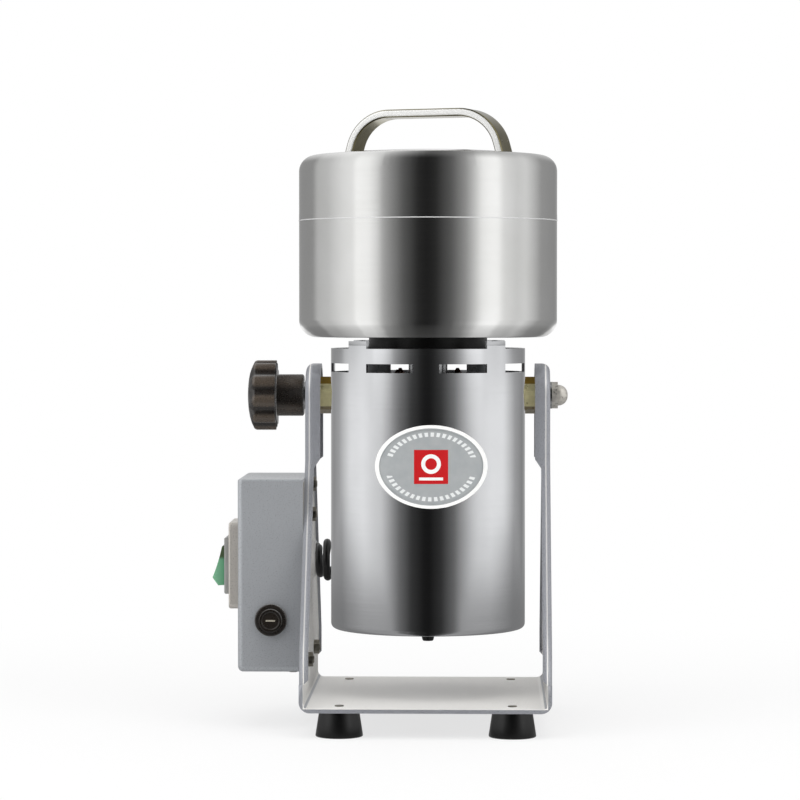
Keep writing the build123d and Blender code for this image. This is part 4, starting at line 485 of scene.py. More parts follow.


# grey_powder_coat: silver-grey with a bluish metallic sheen outside, and painted light inside, a flat warm white
stand_coat, tree, shader, grey = powder_coat("grey_powder_coat", "A9ABB2", "B0B2B8")
middle, x, y, z = measured(tree, AXIS_X)
from_side = calc(tree, "SUBTRACT", ARM_OUTER, calc(tree, "ABSOLUTE", x))
depth = calc(tree, "MINIMUM", from_side, calc(tree, "SUBTRACT", z, BASE_UNDER))
off_inside = calc(tree, "ABSOLUTE", calc(tree, "SUBTRACT", depth, INNER_DEPTH))
from_lead = off_axis(tree, calc(tree, "SUBTRACT", y, LEAD_Y), calc(tree, "SUBTRACT", z, LEAD_Z))
collar = calc(tree, "MULTIPLY", calc(tree, "LESS_THAN", from_lead, COLLAR_REACH),
              calc(tree, "GREATER_THAN", from_side, COLLAR_DEPTH))
# painted light: the inner faces and the collar round the lead's hole turn warm white and lose most of their metal
inside = calc(tree, "MAXIMUM", calc(tree, "LESS_THAN", off_inside, INNER_MARGIN), collar)
# painted shade: a darker grey on the rolled bends keeps the highlight along them a soft line
half_width = remap(tree, z, WIDE_Z, NARROW_Z, WIDE_HALF, NARROW_HALF)
from_rim = calc(tree, "SUBTRACT", half_width, calc(tree, "ABSOLUTE", y))
bend_painted_shade = calc(tree, "MULTIPLY", remap(tree, from_rim, 0.4 * MM, 2.4 * MM, 1.0, 0.0),
            remap(tree, from_side, 2.4 * MM, 4.0 * MM, 1.0, 0.0))
bend_painted_shade = calc(tree, "MULTIPLY", bend_painted_shade, remap(tree, z, BEND_START_Z, BEND_FULL_Z, 0.0, BEND_SHADE_SHARE))
# the coat's colour carries the painted light inside and the painted shade on the bends
feed(shader, Base_Color=mix(tree, bend_painted_shade, mix(tree, inside, grey, "F2F0EC"), "66686E"),
     Metallic=remap(tree, inside, 0.0, 1.0, 0.45, 0.08))
wear(stand_coat, "bracket")
# box_powder_coat: the same coat, a shade lighter and less blue
wear(powder_coat("box_powder_coat", "B4B7BB", "BABDC1")[0], "control_box")
# boss_powder_coat: a warm pale grey that sets the switch's pad off from the box
wear(powder_coat("boss_powder_coat", "D0CBC4", "D8D3CC")[0], "switch_boss")
print("stand and box coated")

# %% [markdown]
# Screws, nuts and studs are zinc plated, and the bright plate has gone dull and a little brown in
# use. The plate grows in crystals, so its frost is a noise of patches that carries tone and gloss.

# %% Zinc-plated steel
# zinc_plated_steel: mottled frost of two greys, duller where it is lighter
zinc, tree, shader = finish("zinc_plated_steel", Metallic=1.0)
frost = blotches(tree, 2.5)
look(tree, shader, frost, "6F6A60", "A8A396", frost, 0.25, 0.42)
wear(zinc, "foot_screws", "cover_screws", "box_studs", "box_nuts", "boss_nuts", "pivot_stud", "motor_bolts",
     "bowl_screws", "handle_screws", "clamp_stud", "blade_nut", "brush_springs", "box_back_plate")
print("screws and nuts plated")

# %% [markdown]
# Shaft, bearings and blades are ground, so they show fine rings and a cold, clean grey. The motor's
# end shields are sand-cast aluminium with a coarse matt grain, which the sand leaves in relief.

# %% Ground steel and cast aluminium
# ground_steel: thin rings of light and dark, sharp along the axis and stretched round it
ground_steel, tree, shader = finish("ground_steel", Metallic=1.0)
rings = turning_lines(tree, 0.3)
look(tree, shader, rings, "B9BABC", "CDCECF", rings, 0.16, 0.3)
wear(ground_steel, "shaft", "shaft_sleeve", "upper_bearing", "lower_bearing", "blade_spacer", "bowl_bush",
     "lid_pin", "blades", "clamp_washer", "pivot_washer")
# cast_aluminium: a grain of 1.6 mm that breaks every highlight up
cast, tree, shader = finish("cast_aluminium", Metallic=1.0)
grain = blotches(tree, 1.6)
look(tree, shader, grain, "9C9EA0", "B4B6B8", grain, 0.45, 0.6)
relief(tree, shader, grain, 0.05)
wear(cast, "upper_end_shield", "lower_end_shield")
print("steel and aluminium done")

# %% [markdown]
# The handle is a flat stainless bar bent by hand over a former. Its two narrow edges carry a painted
# highlight, a near white with little metal, and its broad faces a painted reflection, a darker, warmer tone.
# The bar is turned twenty degrees, so which face is which is told by the distance across the bar.

# %% Handle
HANDLE_TURN, HANDLE_HALF = math.radians(-20), 9 * MM
# the handle's finish: painted white highlights on the edges, against faces with a painted warm reflection that a
# noise breaks up
bright_steel, tree, shader = finish("handle_steel_painted_light")
buff = blotches(tree, 9.0)
middle, x, y, z = measured(tree, AXIS_X)
across = vector(tree, "DOT_PRODUCT", middle, (-math.sin(HANDLE_TURN), math.cos(HANDLE_TURN), 0))
# painted highlight on the narrow edges, and a painted warm reflection on the broad faces
painted_edge_highlight = remap(tree, calc(tree, "ABSOLUTE", across), HANDLE_HALF - 0.4 * MM, HANDLE_HALF - 0.1 * MM)
faces = look(tree, shader, buff, "78714F", "958E72", buff, 0.1, 0.18)
feed(shader, Base_Color=mix(tree, painted_edge_highlight, faces, "F8F8F6"), Metallic=remap(tree, painted_edge_highlight, 0.0, 1.0, 1.0, 0.25))
wear(bright_steel, "handle")
print("handle finished")

# %% [markdown]
# The cap nut of the right-hand pivot is nickel plated. Old nickel goes cloudy, in patches of a few
# millimetres, and mirrors softly.

# %% Cap nut
# dull_nickel_plate: cloudy patches in both tone and gloss
nickel, tree, shader = finish("dull_nickel_plate", Metallic=0.6)
cloud = blotches(tree, 1.8)
look(tree, shader, cloud, "BEBAB2", "E2DED6", cloud, 0.25, 0.45)
wear(nickel, "acorn_nut")
print("cap nut plated")

# %% [markdown]
# The pivots are hexagonal brass, turned only at the ends. Light and shade are painted on the facets:
# the upper ones a shaded brown, the ones in front a lit pale yellow, and the lower ones a shaded grey.
# Each facet spans its own heights, so a ramp without blends, taken by height, gives each its tone.

# %% Brass
# the brass: three tones by height, painted light and shade on the facets, mottled every few millimetres
brass, tree, shader = finish("turned_brass", Metallic=0.3)
tarnish = blotches(tree, 3.0)
middle, x, y, z = measured(tree, z=PIVOT_Z)
# painted light and shade by facet: grey below, pale yellow in front, brown above
facet_light_and_shade = add(tree, "ValToRGB", {0: remap(tree, z, -12 * MM, 12 * MM)})
facet_light_and_shade.color_ramp.interpolation = "CONSTANT"
stops = facet_light_and_shade.color_ramp.elements
stops[0].color, stops[1].color = linear("9A8E76"), linear("9A7A22")
stops[1].position = 0.77
stops.new(0.24).color = linear("EFE7B4")
feed(shader, Base_Color=mix(tree, spread(tree, tarnish, 0.75, 1.0), "8C7A3A", facet_light_and_shade.outputs[0]),
     Roughness=spread(tree, tarnish, 0.26, 0.4))
wear(brass, "brass_bosses", "inlet_pins")
print("brass aged")

# %% [markdown]
# The coils are wound from copper wire in a clear enamel, which makes it reddish brown, with a line of
# light on every turn. Each coil is one solid here, so its strands are a noise of a strand's size.

# %% Copper wire
# enamelled_copper_wire: strands under a millimetre thick, told apart by tone and relief
copper, tree, shader = finish("enamelled_copper_wire", Metallic=1.0)
turns = blotches(tree, 0.9)
look(tree, shader, turns, "7C3F26", "B0683F", turns, 0.25, 0.4)
relief(tree, shader, turns, 0.2)
wear(copper, "field_coils", "armature_windings", "commutator")
print("windings done")

# %% [markdown]
# Everything moulded has the same structure: a tone that drifts a little over centimetres, a fine grain
# from the mould, and a gloss that follows the grain. What tells rubber from phenolic or nylon is how
# dark it is, how glossy, and how coarse the grain is, so one helper makes them all.

# %% Rubbers and plastics
def moulding(name, dark, light, gloss, grain_mm, depth_mm, *names, **values):
    """A moulded finish with a grain of this size and depth, put on CAD nodes. Returns its colour as well."""
    made, tree, shader = finish(name, **values)
    grain = blotches(tree, grain_mm, detail=2.0)
    colour = look(tree, shader, blotches(tree, 12.0), dark, light, grain, gloss, gloss + 0.1)
    relief(tree, shader, grain, depth_mm)
    wear(made, *names)
    return made, tree, shader, colour


# moulded_rubber: nearly black, with a dull sheen along rounded edges
foot_rubber = moulding("moulded_rubber", "060606", "0B0B0B", 0.28, 0.9, 0.008,
                       "rubber_feet", "lead_grommet", "lead_bush", "housing_plug", "shaft_seal")[0]
# lead_rubber: a shade browner, with a soft highlight along each turn
lead_rubber = moulding("lead_rubber", "0E0D0C", "151412", 0.3, 0.8, 0.006, "motor_lead")[0]
# phenolic_moulding: brown-black with a hard, wet-looking gloss
moulding("phenolic_moulding", "1C1713", "28211B", 0.24, 2.2, 0.006, "clamp_knob", "fuse_holder", "fuse_cap",
         Specular_IOR_Level=1.0)
# glass_filled_nylon: dead black and matt, because the fibres roughen its skin
moulding("glass_filled_nylon", "0F0F0F", "171715", 0.4, 0.8, 0.012, "collar", "brush_holders", "fan")
# grey_abs: even warm grey with a satin skin
moulding("grey_abs", "90908E", "9A9A98", 0.3, 0.7, 0.006, "switch_body")
# black_polycarbonate: blue-black, and glossier than the rubbers
moulding("black_polycarbonate", "101012", "17171A", 0.22, 0.9, 0.004, "mains_inlet")
# graphite_block: dark grey and dusty, hardly any highlight
moulding("graphite_block", "1A1A1C", "2A2A2C", 0.45, 0.4, 0.01, "carbon_brushes")
# white_silicone: milky white with a waxy sheen
moulding("white_silicone", "D6D4CE", "E2E0DA", 0.38, 1.2, 0.006, "lid_seal")
# fuse_glass_and_caps: pale and smooth, with one sharp highlight along it
moulding("fuse_glass_and_caps", "B5B8BA", "D2D4D6", 0.08, 1.5, 0.002, "fuse_link")
print("rubbers and plastics done")

# %% [markdown]
# Stator and armature are stacks of punched iron sheets. The cut edges show as fine level lines, here
# a sine along the height with one line every millimetre.

# %% Laminated iron
# laminated_iron: dark grey with level lines that the light rakes over
lamination, tree, shader = finish("laminated_iron", Metallic=1.0, Roughness=0.4)
middle, x, y, z = measured(tree)
wave = calc(tree, "SINE", calc(tree, "MULTIPLY", z, 2 * math.pi / (1.0 * MM)))
feed(shader, Base_Color=mix(tree, remap(tree, wave, -1.0, 1.0), "4A4A4C", "77777A"))
relief(tree, shader, wave, 0.05)
wear(lamination, "stator_core", "armature_core")
print("iron sheets every millimetre")

# %% [markdown]
# The rocker is moulded from a clear green plastic with a lamp behind it. Light and shade are painted
# on it: it is lighter where it stands out of the bezel, a painted shade darkens it where it goes down
# into it, and a painted olive shade lies on its upper end.

# %% Green rocker
switch_low, switch_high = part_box("rocker")
# the rocker's finish: pale green outside, a painted deeper green shade inside, a painted olive shade at its upper
# end
green, tree, shader = finish("translucent_green_abs", Roughness=0.22, Subsurface_Weight=0.15,
                             Subsurface_Radius=(0.3, 1.0, 0.4), Subsurface_Scale=2 * MM)
middle, x, y, z = measured(tree)
# painted light outside, fading to painted shade where it goes down into the bezel
painted_light_to_shade = mix(tree, remap(tree, x, switch_low.x, switch_low.x + 9 * MM), "86BE9C", "4A8862")
# painted olive shade on the upper end
painted_upper_shade = remap(tree, z, switch_high.z - 9.5 * MM, switch_high.z - 7.5 * MM)
feed(shader, Base_Color=mix(tree, painted_upper_shade, painted_light_to_shade, "4A5A40"))
wear(green, "rocker")
print("rocker from z", round(switch_low.z / MM, 1), "to", round(switch_high.z / MM, 1), "mm")

# %% [markdown]
# The badge is a thin aluminium plate with a raised white rim and a printed field. The printing is
# generic: a red square with a ring and a bar, and two rows of ticks that follow the oval. It is all
# drawn by distances. An oval is a circle when its two directions are divided by its two half sizes.

# %% Printed badge
badge_low, badge_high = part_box("badge")
BADGE_X, BADGE_Z = (badge_low.x + badge_high.x) / 2, (badge_low.z + badge_high.z) / 2
BADGE_HALF_X, BADGE_HALF_Z = (badge_high.x - badge_low.x) / 2, (badge_high.z - badge_low.z) / 2
TICKS, TICK_SHARE = 46, 0.58


def below_both(tree, first, most, second, high):
    """1 where two numbers are both below their limits."""
    return calc(tree, "MULTIPLY", calc(tree, "LESS_THAN", first, most), calc(tree, "LESS_THAN", second, high))


# printed_aluminium: crisp flat inks on a faintly grained grey field
badge_print, tree, shader = finish("printed_aluminium", Roughness=0.3)
middle, across, y, up = measured(tree, BADGE_X, 0, BADGE_Z)
share_x, share_z = calc(tree, "DIVIDE", across, BADGE_HALF_X), calc(tree, "DIVIDE", up, BADGE_HALF_Z)
oval, width = off_axis(tree, share_x, share_z), calc(tree, "ABSOLUTE", across)
colour = mix(tree, spread(tree, blotches(tree, 6.0)), "A0A4A6", "A9ACAD")
# two rows of ticks
off_band = calc(tree, "ABSOLUTE", calc(tree, "SUBTRACT", oval, 0.775))
turn = calc(tree, "ARCTAN2", share_z, share_x)
step = calc(tree, "FRACT", calc(tree, "MULTIPLY", turn, TICKS / (2 * math.pi)))
rows = calc(tree, "GREATER_THAN", calc(tree, "ABSOLUTE", share_z), 0.22)
ticks = calc(tree, "MULTIPLY", below_both(tree, off_band, 0.05, step, TICK_SHARE), rows)
colour = mix(tree, ticks, colour, "E4E6E6")
# red square with a ring and a bar
square = below_both(tree, width, 9.4 * MM, calc(tree, "ABSOLUTE", up), 9.4 * MM)
colour = mix(tree, square, colour, "C40A12")
disc = off_axis(tree, across, calc(tree, "SUBTRACT", up, 1.6 * MM))
ring = calc(tree, "MULTIPLY", calc(tree, "LESS_THAN", disc, 5.4 * MM), calc(tree, "GREATER_THAN", disc, 3.2 * MM))
colour = mix(tree, ring, colour, "F2F2F0")
off_bar = calc(tree, "ABSOLUTE", calc(tree, "ADD", up, 6.6 * MM))
colour = mix(tree, below_both(tree, off_bar, 0.8 * MM, width, 6.6 * MM), colour, "F2F2F0")
# white rim
colour = mix(tree, calc(tree, "GREATER_THAN", oval, 0.925), colour, "FAFAF8")
feed(shader, Base_Color=colour)
relief(tree, shader, blotches(tree, 0.8), 0.004)
wear(badge_print, "badge")
print("badge", round(2 * BADGE_HALF_X / MM, 1), "x", round(2 * BADGE_HALF_Z / MM, 1), "mm")

# %% [markdown]
# ## Pieces modelled again
# The CAD pieces keep their exact edges, and real ones don't: corners are rolled, ground or moulded
# round, and that is where light catches. The pieces that show are modelled again as by hand, from a
# primitive that is cut, drawn out and bevelled in edit mode. The helpers open a piece for editing,
# select a part of it by its place, draw that part out, and close the piece with its finish and body.

# %% Modelling helpers
def open_piece(piece):
    """Opens a piece in edit mode with its places in millimetre-true world units and nothing selected."""
    bpy.ops.object.select_all(action="DESELECT")
    piece.select_set(True)
    bpy.context.view_layer.objects.active = piece
    bpy.ops.object.transform_apply(location=True, rotation=True, scale=True)
    bpy.ops.object.mode_set(mode="EDIT")
    bpy.ops.mesh.select_all(action="DESELECT")
    return piece


def pick(kind, test):
    """Selects the faces, edges or verts of the open piece whose middle and normal pass a test."""
    bpy.ops.mesh.select_mode(type=kind)
    bpy.ops.mesh.select_all(action="DESELECT")
    data = bpy.context.object.data
    mesh = bmesh.from_edit_mesh(data)
    parts = {"FACE": mesh.faces, "EDGE": mesh.edges, "VERT": mesh.verts}[kind]
    found = 0
    for part in parts:
        middle = part.co if kind == "VERT" else sum((v.co for v in part.verts), Vector()) / len(part.verts)
        if test(middle, part.normal if kind == "FACE" else None):
            part.select_set(True)
            found += 1
    mesh.select_flush_mode()
    bmesh.update_edit_mesh(data)
    return found


def pull(x, y, z):
    """Draws the selected part of the open piece out by this much."""
    bpy.ops.mesh.extrude_region_move(TRANSFORM_OT_translate={"value": (x, y, z)})


def close_piece(piece, name, material, slot, body, *stands_for, angle=35):
    """Leaves edit mode, shades the piece, gives it its name, finish and body, and hides the CAD nodes it stands
    for; the slot is not used.
    """
    bpy.ops.object.mode_set(mode="OBJECT")
    bpy.ops.object.shade_smooth_by_angle(angle=math.radians(angle))
    piece.name = name
    piece.data.name = name
    piece.data.materials.clear()
    piece.data.materials.append(material)
    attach(piece, body)
    if stands_for:
        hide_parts(*stands_for)
    if body in KEPT_OFF:
        piece.visible_glossy = False
    piece.select_set(False)
    print(name, "-", len(piece.data.polygons), "faces")
    return piece


def copies(piece, places, from_place):
    """Copies a piece to other places, each copy with its own mesh, and joins them all."""
    made = [piece]
    for place in places:
        twin = piece.copy()
        twin.data = piece.data.copy()
        twin.data.transform(Matrix.Translation(Vector(place) - Vector(from_place)))
        bpy.context.scene.collection.objects.link(twin)
        made.append(twin)
    bpy.ops.object.select_all(action="DESELECT")
    for twin in made:
        twin.select_set(True)
    bpy.context.view_layer.objects.active = piece
    bpy.ops.object.join()
    return piece


print("modelling helpers ready")

# %% [markdown]
# The stand is blanked flat, and its rims are then folded on a press brake. The rear rims are left
# narrower than the front ones, so that a brush gets behind the motor. The CAD draws them all alike, so
# a copy of the bracket has the free edges of its two rear rims moved outwards. A copy of a CAD mesh is
# loose triangles, which are merged before they are edited.

# %% Rear rims of the bracket
RIM_DEPTH, RIM_CUT, WAIST_Z = 5.2 * MM, 2.6 * MM, 146 * MM
bracket = nodes["bracket"].copy()
bracket.data = nodes["bracket"].data.copy()
bpy.context.scene.collection.objects.link(bracket)
open_piece(bracket)
bpy.ops.mesh.select_all(action="SELECT")
bpy.ops.mesh.remove_doubles(threshold=0.01 * MM)
for side in (-1, 1):
    rim_x = AXIS_X + side * (ARM_OUTER - RIM_DEPTH)
    found = pick("VERT", lambda m, n: abs(m.x - rim_x) < 0.05 * MM and m.y > 5 * MM and m.z < WAIST_Z)
    bpy.ops.transform.translate(value=(side * RIM_CUT, 0, 0))
    print("rear rim on side", side, "moved by", found, "verts")
close_piece(bracket, "folded_bracket", stand_coat, "grey_paint", "stand", "bracket", angle=30)

# %% [markdown]
# A foot is one moulding of black rubber, wider at the bottom, with a recess for its screw. A cone is
# the natural start. The recess is an inset of the bottom face, pushed up, and both rims are bevelled,
# because rubber never leaves its mould with a sharp edge. One foot is modelled and copied three times.

# %% Rubber feet
FOOT_HEIGHT, FOOT_TOP, FOOT_BOTTOM = 14.2 * MM, 11.0 * MM, 13.2 * MM
FOOT_RECESS, RECESS_DEPTH = 6.0 * MM, 7 * MM
feet_low, feet_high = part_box("rubber_feet")
left, right = feet_low.x + FOOT_BOTTOM, feet_high.x - FOOT_BOTTOM
front, back = feet_low.y + FOOT_BOTTOM, feet_high.y - FOOT_BOTTOM
bpy.ops.mesh.primitive_cone_add(vertices=64, radius1=FOOT_BOTTOM, radius2=FOOT_TOP, depth=FOOT_HEIGHT,
                                location=(left, front, FOOT_HEIGHT / 2))
foot = open_piece(bpy.context.object)
pick("FACE", lambda m, n: n.z < -0.9)
bpy.ops.mesh.inset(thickness=FOOT_BOTTOM - FOOT_RECESS)
pull(0, 0, RECESS_DEPTH)
bpy.ops.mesh.delete(type="ONLY_FACE")
pick("EDGE", lambda m, n: m.z < 0.01 * MM and (m - Vector((left, front, 0))).length > FOOT_RECESS + MM)
bpy.ops.mesh.bevel(offset=0.9 * MM, segments=3)
pick("EDGE", lambda m, n: m.z > FOOT_HEIGHT - 0.01 * MM)
bpy.ops.mesh.bevel(offset=0.5 * MM, segments=2)
bpy.ops.object.mode_set(mode="OBJECT")
feet = copies(foot, [(right, front, 0), (left, back, 0), (right, back, 0)], (left, front, 0))
open_piece(feet)
close_piece(feet, "moulded_feet", foot_rubber, "black_rubber", "stand", "rubber_feet")

# %% [markdown]
# A black rubber plug closes the hole under the lower bearing. It is a short cone with a narrower
# neck in the hole, and hangs far enough below the tube to be pulled out with two fingers.

# %% Plug under the tube
PLUG_RADIUS, PLUG_TIP, PLUG_HEIGHT = 4.9 * MM, 3.0 * MM, 7.6 * MM
NECK_RADIUS, NECK_HEIGHT = 3.0 * MM, 1.5 * MM
PLUG_Z = tube_low.z
bpy.ops.mesh.primitive_cone_add(vertices=48, radius1=PLUG_TIP, radius2=PLUG_RADIUS, depth=PLUG_HEIGHT,
                                location=(AXIS_X, 0, PLUG_Z - PLUG_HEIGHT / 2))
plug = open_piece(bpy.context.object)
pick("FACE", lambda m, n: n.z > 0.9)
bpy.ops.mesh.inset(thickness=PLUG_RADIUS - NECK_RADIUS)
pull(0, 0, NECK_HEIGHT)
pick("EDGE", lambda m, n: m.z < PLUG_Z - PLUG_HEIGHT + 0.01 * MM)
bpy.ops.mesh.bevel(offset=0.6 * MM, segments=3)
close_piece(plug, "tube_plug", foot_rubber, "black_rubber", "head", "housing_plug")

# %% [markdown]
# The motor's lead leaves the box through a grommet, makes one and a half turns to let the head tip,
# and goes into a bush in the tube. A cable like this takes its set from the way it was wound, so its
# line is a helix. It is a NURBS curve with a round section, turned into a mesh.

# %% Curly motor lead
LEAD_RADIUS, COIL_RADIUS = 2.1 * MM, 9.2 * MM
START_X, END_X = AXIS_X - 63.0 * MM, AXIS_X - 57.9 * MM
line = [(START_X - 5 * MM, LEAD_Y, LEAD_Z), (START_X - 1.5 * MM, LEAD_Y, LEAD_Z),
        (START_X + 0.2 * MM, LEAD_Y, LEAD_Z + 2.5 * MM)]
for i in range(23):
    angle = 2 * math.pi * i / 16
    open_out = min(1.0, 0.62 + i / 8)
    across = min(1.0, 0.08 + 0.02 * i + 0.11 * max(0, i - 8))
    line.append((START_X + (END_X - START_X) * across, LEAD_Y - open_out * COIL_RADIUS * math.sin(angle),
                 LEAD_Z + open_out * COIL_RADIUS * math.cos(angle)))
line += [(END_X + 0.1 * MM, LEAD_Y - 4.5 * MM, LEAD_Z - 10.2 * MM),
         (END_X + 0.6 * MM, LEAD_Y - 1.5 * MM, LEAD_Z - 11 * MM),
         (END_X + 1.2 * MM, LEAD_Y, LEAD_Z - 8.2 * MM), (AXIS_X - 54.5 * MM, LEAD_Y, LEAD_Z - 6 * MM),
         (AXIS_X - 52 * MM, LEAD_Y, LEAD_Z - 6 * MM)]
curve = bpy.data.curves.new("curly_lead", "CURVE")
curve.dimensions = "3D"
curve.bevel_depth = LEAD_RADIUS
curve.bevel_resolution = 6
curve.resolution_u = 6
curve.use_fill_caps = True
spline = curve.splines.new("NURBS")
spline.points.add(len(line) - 1)
for point, place in zip(spline.points, line):
    point.co = (*place, 1)
spline.order_u = 3
spline.use_endpoint_u = True
lead = bpy.data.objects.new("curly_lead", curve)
bpy.context.scene.collection.objects.link(lead)
bpy.ops.object.select_all(action="DESELECT")
lead.select_set(True)
bpy.context.view_layer.objects.active = lead
bpy.ops.object.convert(target="MESH")
lead = bpy.context.object
bpy.ops.object.shade_smooth()
lead.data.materials.clear()
lead.data.materials.append(lead_rubber)
lead.visible_glossy = False
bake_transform(lead)
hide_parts("motor_lead")
lead.select_set(False)
print("lead of", len(line), "points")

# %% [markdown]
# Light and shade are painted into the knob's phenolic: a paler brown painted highlight on its crests
# and a painted shade in its valleys, so it is darker where it lies deeper. The hub has a painted paler
# reflection above and below, and is black in front.

# %% Finish of the knob
# the knob's finish: painted light on brown crests and painted shade in nearly black valleys, told apart by the
# distance from the axis
knob_finish, tree, shader, deep = moulding("knob_phenolic_painted_light", "17120E", "1F1914", 0.24, 2.2, 0.006,
                                           Specular_IOR_Level=0.9)
middle, x, y, z = measured(tree, z=PIVOT_Z)
reach = off_axis(tree, y, z)
# painted highlight on the crests and painted shade in the valleys, by the distance from the axis
crest_painted_light = remap(tree, reach, 17.9 * MM, 19.3 * MM, 0.0, 0.9, "SMOOTHSTEP")
# painted paler reflection on the hub above and below
above_below_painted_light = remap(tree, calc(tree, "ABSOLUTE", z), 3 * MM, 8 * MM, 0.0, 0.6, "SMOOTHSTEP")
hub_painted_light = calc(tree, "MULTIPLY", above_below_painted_light, calc(tree, "LESS_THAN", reach, 12.2 * MM))
feed(shader, Base_Color=mix(tree, calc(tree, "MAXIMUM", crest_painted_light, hub_painted_light), deep, "4C4238"))
print("knob finish ready")

# %% [markdown]
# The star knob is a phenolic moulding: ten soft lobes for the fingers, a domed face, and a plain hub
# that reaches to the arm. It starts as a cylinder of 120 sides, twelve for each lobe. The hub and the
# dome are drawn out of its two faces in rings, each resized about the axis.

# %% Star knob
KNOB_RADIUS, LOBES = 19.8 * MM, 10
HEAD_X, HEAD_DEPTH, HUB_LENGTH = AXIS_X - 86.0 * MM, 11.6 * MM, 15.7 * MM
knob_axis = Vector((HEAD_X, 0, PIVOT_Z))


def from_axis(middle):
    """How far a point is from the knob's axis."""
    return math.hypot(middle.y, middle.z - PIVOT_Z)


def draw_out(distance, scale):
    """Draws the selected face out along the axis and resizes it about the axis."""
    pull(distance, 0, 0)
    bpy.ops.transform.resize(value=(1, scale, scale), center_override=knob_axis)


bpy.ops.mesh.primitive_cylinder_add(vertices=12 * LOBES, radius=KNOB_RADIUS, depth=HEAD_DEPTH,
                                    location=(HEAD_X - HEAD_DEPTH / 2, 0, PIVOT_Z), rotation=(0, math.pi / 2, 0))
knob = open_piece(bpy.context.object)
pick("FACE", lambda m, n: n.x > 0.9)
for step, scale in ((0.0, 0.94), (0.5 * MM, 0.97), (0.0, 12.6 / 18.06), (0.0, 11.9 / 12.6),
                    (0.6 * MM, 11.8 / 11.9), (HUB_LENGTH - 2.0 * MM, 1.0), (0.5 * MM, 0.975), (0.4 * MM, 0.95)):
    draw_out(step, scale)
pick("FACE", lambda m, n: n.x < -0.9)
for step, scale in ((-0.9 * MM, 0.955), (-1.3 * MM, 0.86), (-1.0 * MM, 0.8), (-0.7 * MM, 0.72), (-0.4 * MM, 0.6),
                    (-0.2 * MM, 0.4)):
    draw_out(step, scale)
print("knob drawn out to", round(min(v.co.x for v in bmesh.from_edit_mesh(knob.data).verts) / MM, 1), "mm")

# %% [markdown]
# The valleys between the lobes are pressed in last. All verts that are equally far round from the
# nearest valley go towards the axis together, most in the valley's middle and least at its sides, so
# the lobes stay full and round. The inner rings stay where they are, and the dome closes over them.

# %% Valleys of the knob
FIRST_VALLEY = -45


def off_valley(middle):
    """How many degrees round a point is from the middle of the nearest valley."""
    turn = math.degrees(math.atan2(PIVOT_Z - middle.z, -middle.y))
    pitch = 360 / LOBES
    return abs((turn - FIRST_VALLEY + pitch / 2) % pitch - pitch / 2)


moved = 0
for degrees, depth_mm in ((0, 2.4), (3, 2.2), (6, 1.6), (9, 0.9), (12, 0.3)):
    moved += pick("VERT", lambda m, n: from_axis(m) > 15 * MM and abs(off_valley(m) - degrees) < 0.5)
    scale = 1 - depth_mm * MM / KNOB_RADIUS
    bpy.ops.transform.resize(value=(1, scale, scale), center_override=knob_axis)
print("pressed in", moved, "verts")
pick("EDGE", lambda m, n: abs(m.x - (HEAD_X - HEAD_DEPTH)) < 0.01 * MM and from_axis(m) > 12 * MM)
bpy.ops.mesh.bevel(offset=0.8 * MM, segments=3)
close_piece(knob, "star_knob", knob_finish, "dark_plastic", "clamp_knob", "clamp_knob", angle=50)

# %% [markdown]
# The lid's lower edge is pressed a little wider and closes over the bowl by three millimetres, and
# its very edge is rolled outwards into a thin bead. The bead carries a painted highlight, a near white
# with little metal, so it shows as one bright line round the steel. Skirt and bead are circles drawn
# upwards in rings.

# %% Lid skirt and bead
SEAM_Z = 284.0 * MM
# the bead's finish: a painted highlight, nearly white from every side, so the seam reads as one line
bead_painted_highlight, tree, shader = finish("rolled_edge_painted_highlight", Metallic=0.25)
fine = turning_lines(tree, 0.25)
look(tree, shader, fine, "D2D2D2", "E2E2E2", fine, 0.3, 0.4)
seam_axis = Vector((AXIS_X, 0, SEAM_Z))


def ring_up(radius, rings):
    """A circle at the seam, drawn upwards in rings of (rise, growth) in millimetres."""
    bpy.ops.mesh.primitive_circle_add(vertices=160, radius=radius, location=seam_axis)
    piece = open_piece(bpy.context.object)
    bpy.ops.mesh.select_all(action="SELECT")
    for rise, grow in rings:
        pull(0, 0, rise * MM)
        scale = 1 + grow * MM / BOWL_RADIUS
        bpy.ops.transform.resize(value=(scale, scale, 1), center_override=seam_axis)
    bpy.ops.mesh.select_all(action="SELECT")
    bpy.ops.mesh.normals_make_consistent(inside=False)
    return piece


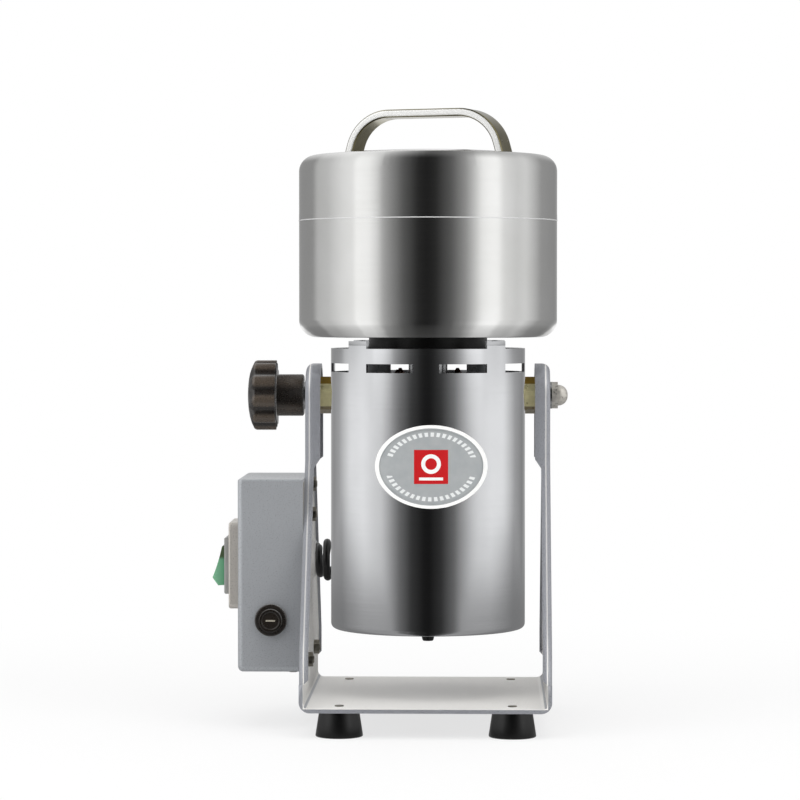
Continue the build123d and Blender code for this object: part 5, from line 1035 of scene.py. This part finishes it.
bead = ring_up(BOWL_RADIUS + 0.03 * MM, ((0.1, 0.16), (0.2, 0.06), (0.2, -0.06), (0.1, -0.14)))
close_piece(bead, "lid_bead", bead_painted_highlight, "stainless", "lid", angle=80)
skirt = ring_up(BOWL_RADIUS + 0.06 * MM, ((0.6, 0.0), (1.6, 0.0), (1.2, 0.0), (0.2, -0.03)))
close_piece(skirt, "lid_skirt", spun_steel, "stainless", "lid", angle=80)

# %% [markdown]
# The fuse sits in a black holder screwed to the box, under a bayonet cap. The holder's flange is a
# low dome, and the cap is dished like a button, with a pale line that shows which way it is turned.

# %% Fuse cap
cap_low, cap_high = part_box("fuse_cap")
FUSE_X, FUSE_Z = (cap_low.x + cap_high.x) / 2, (cap_low.z + cap_high.z) / 2
CAP_RADIUS = (cap_high.x - cap_low.x) / 2
CAP_FACE = cap_low.y
fuse_axis = Vector((FUSE_X, CAP_FACE, FUSE_Z))
# marked_phenolic: the same dark moulding with one painted line
cap_finish, tree, shader, plain = moulding("marked_phenolic", "1C1713", "28211B", 0.24, 2.2, 0.006)
middle, x, y, z = measured(tree, FUSE_X, 0, FUSE_Z)
mark = below_both(tree, calc(tree, "ABSOLUTE", x), 2.6 * MM, calc(tree, "ABSOLUTE", z), 0.45 * MM)
feed(shader, Base_Color=mix(tree, mark, plain, "A8A294"))
bpy.ops.mesh.primitive_cylinder_add(vertices=64, radius=CAP_RADIUS, depth=2.9 * MM,
                                    location=(FUSE_X, CAP_FACE + 1.5 * MM, FUSE_Z), rotation=(math.pi / 2, 0, 0))
cap = open_piece(bpy.context.object)
pick("FACE", lambda m, n: n.y < -0.9)
bpy.ops.mesh.inset(thickness=1.5 * MM)
pull(0, 0.9 * MM, 0)
bpy.ops.transform.resize(value=(0.93, 1, 0.93), center_override=fuse_axis)
pick("EDGE", lambda m, n: m.y < CAP_FACE + 0.1 * MM)
bpy.ops.mesh.bevel(offset=0.55 * MM, segments=3)
pick("FACE", lambda m, n: m.y > CAP_FACE + 2.8 * MM and n.y > 0.9)
bpy.ops.mesh.inset(thickness=CAP_RADIUS - 5.1 * MM)
pull(0, cap_high.y - CAP_FACE - 2.95 * MM, 0)
close_piece(cap, "fuse_cap_button", cap_finish, "dark_plastic", "fuse_cap", "fuse_cap")
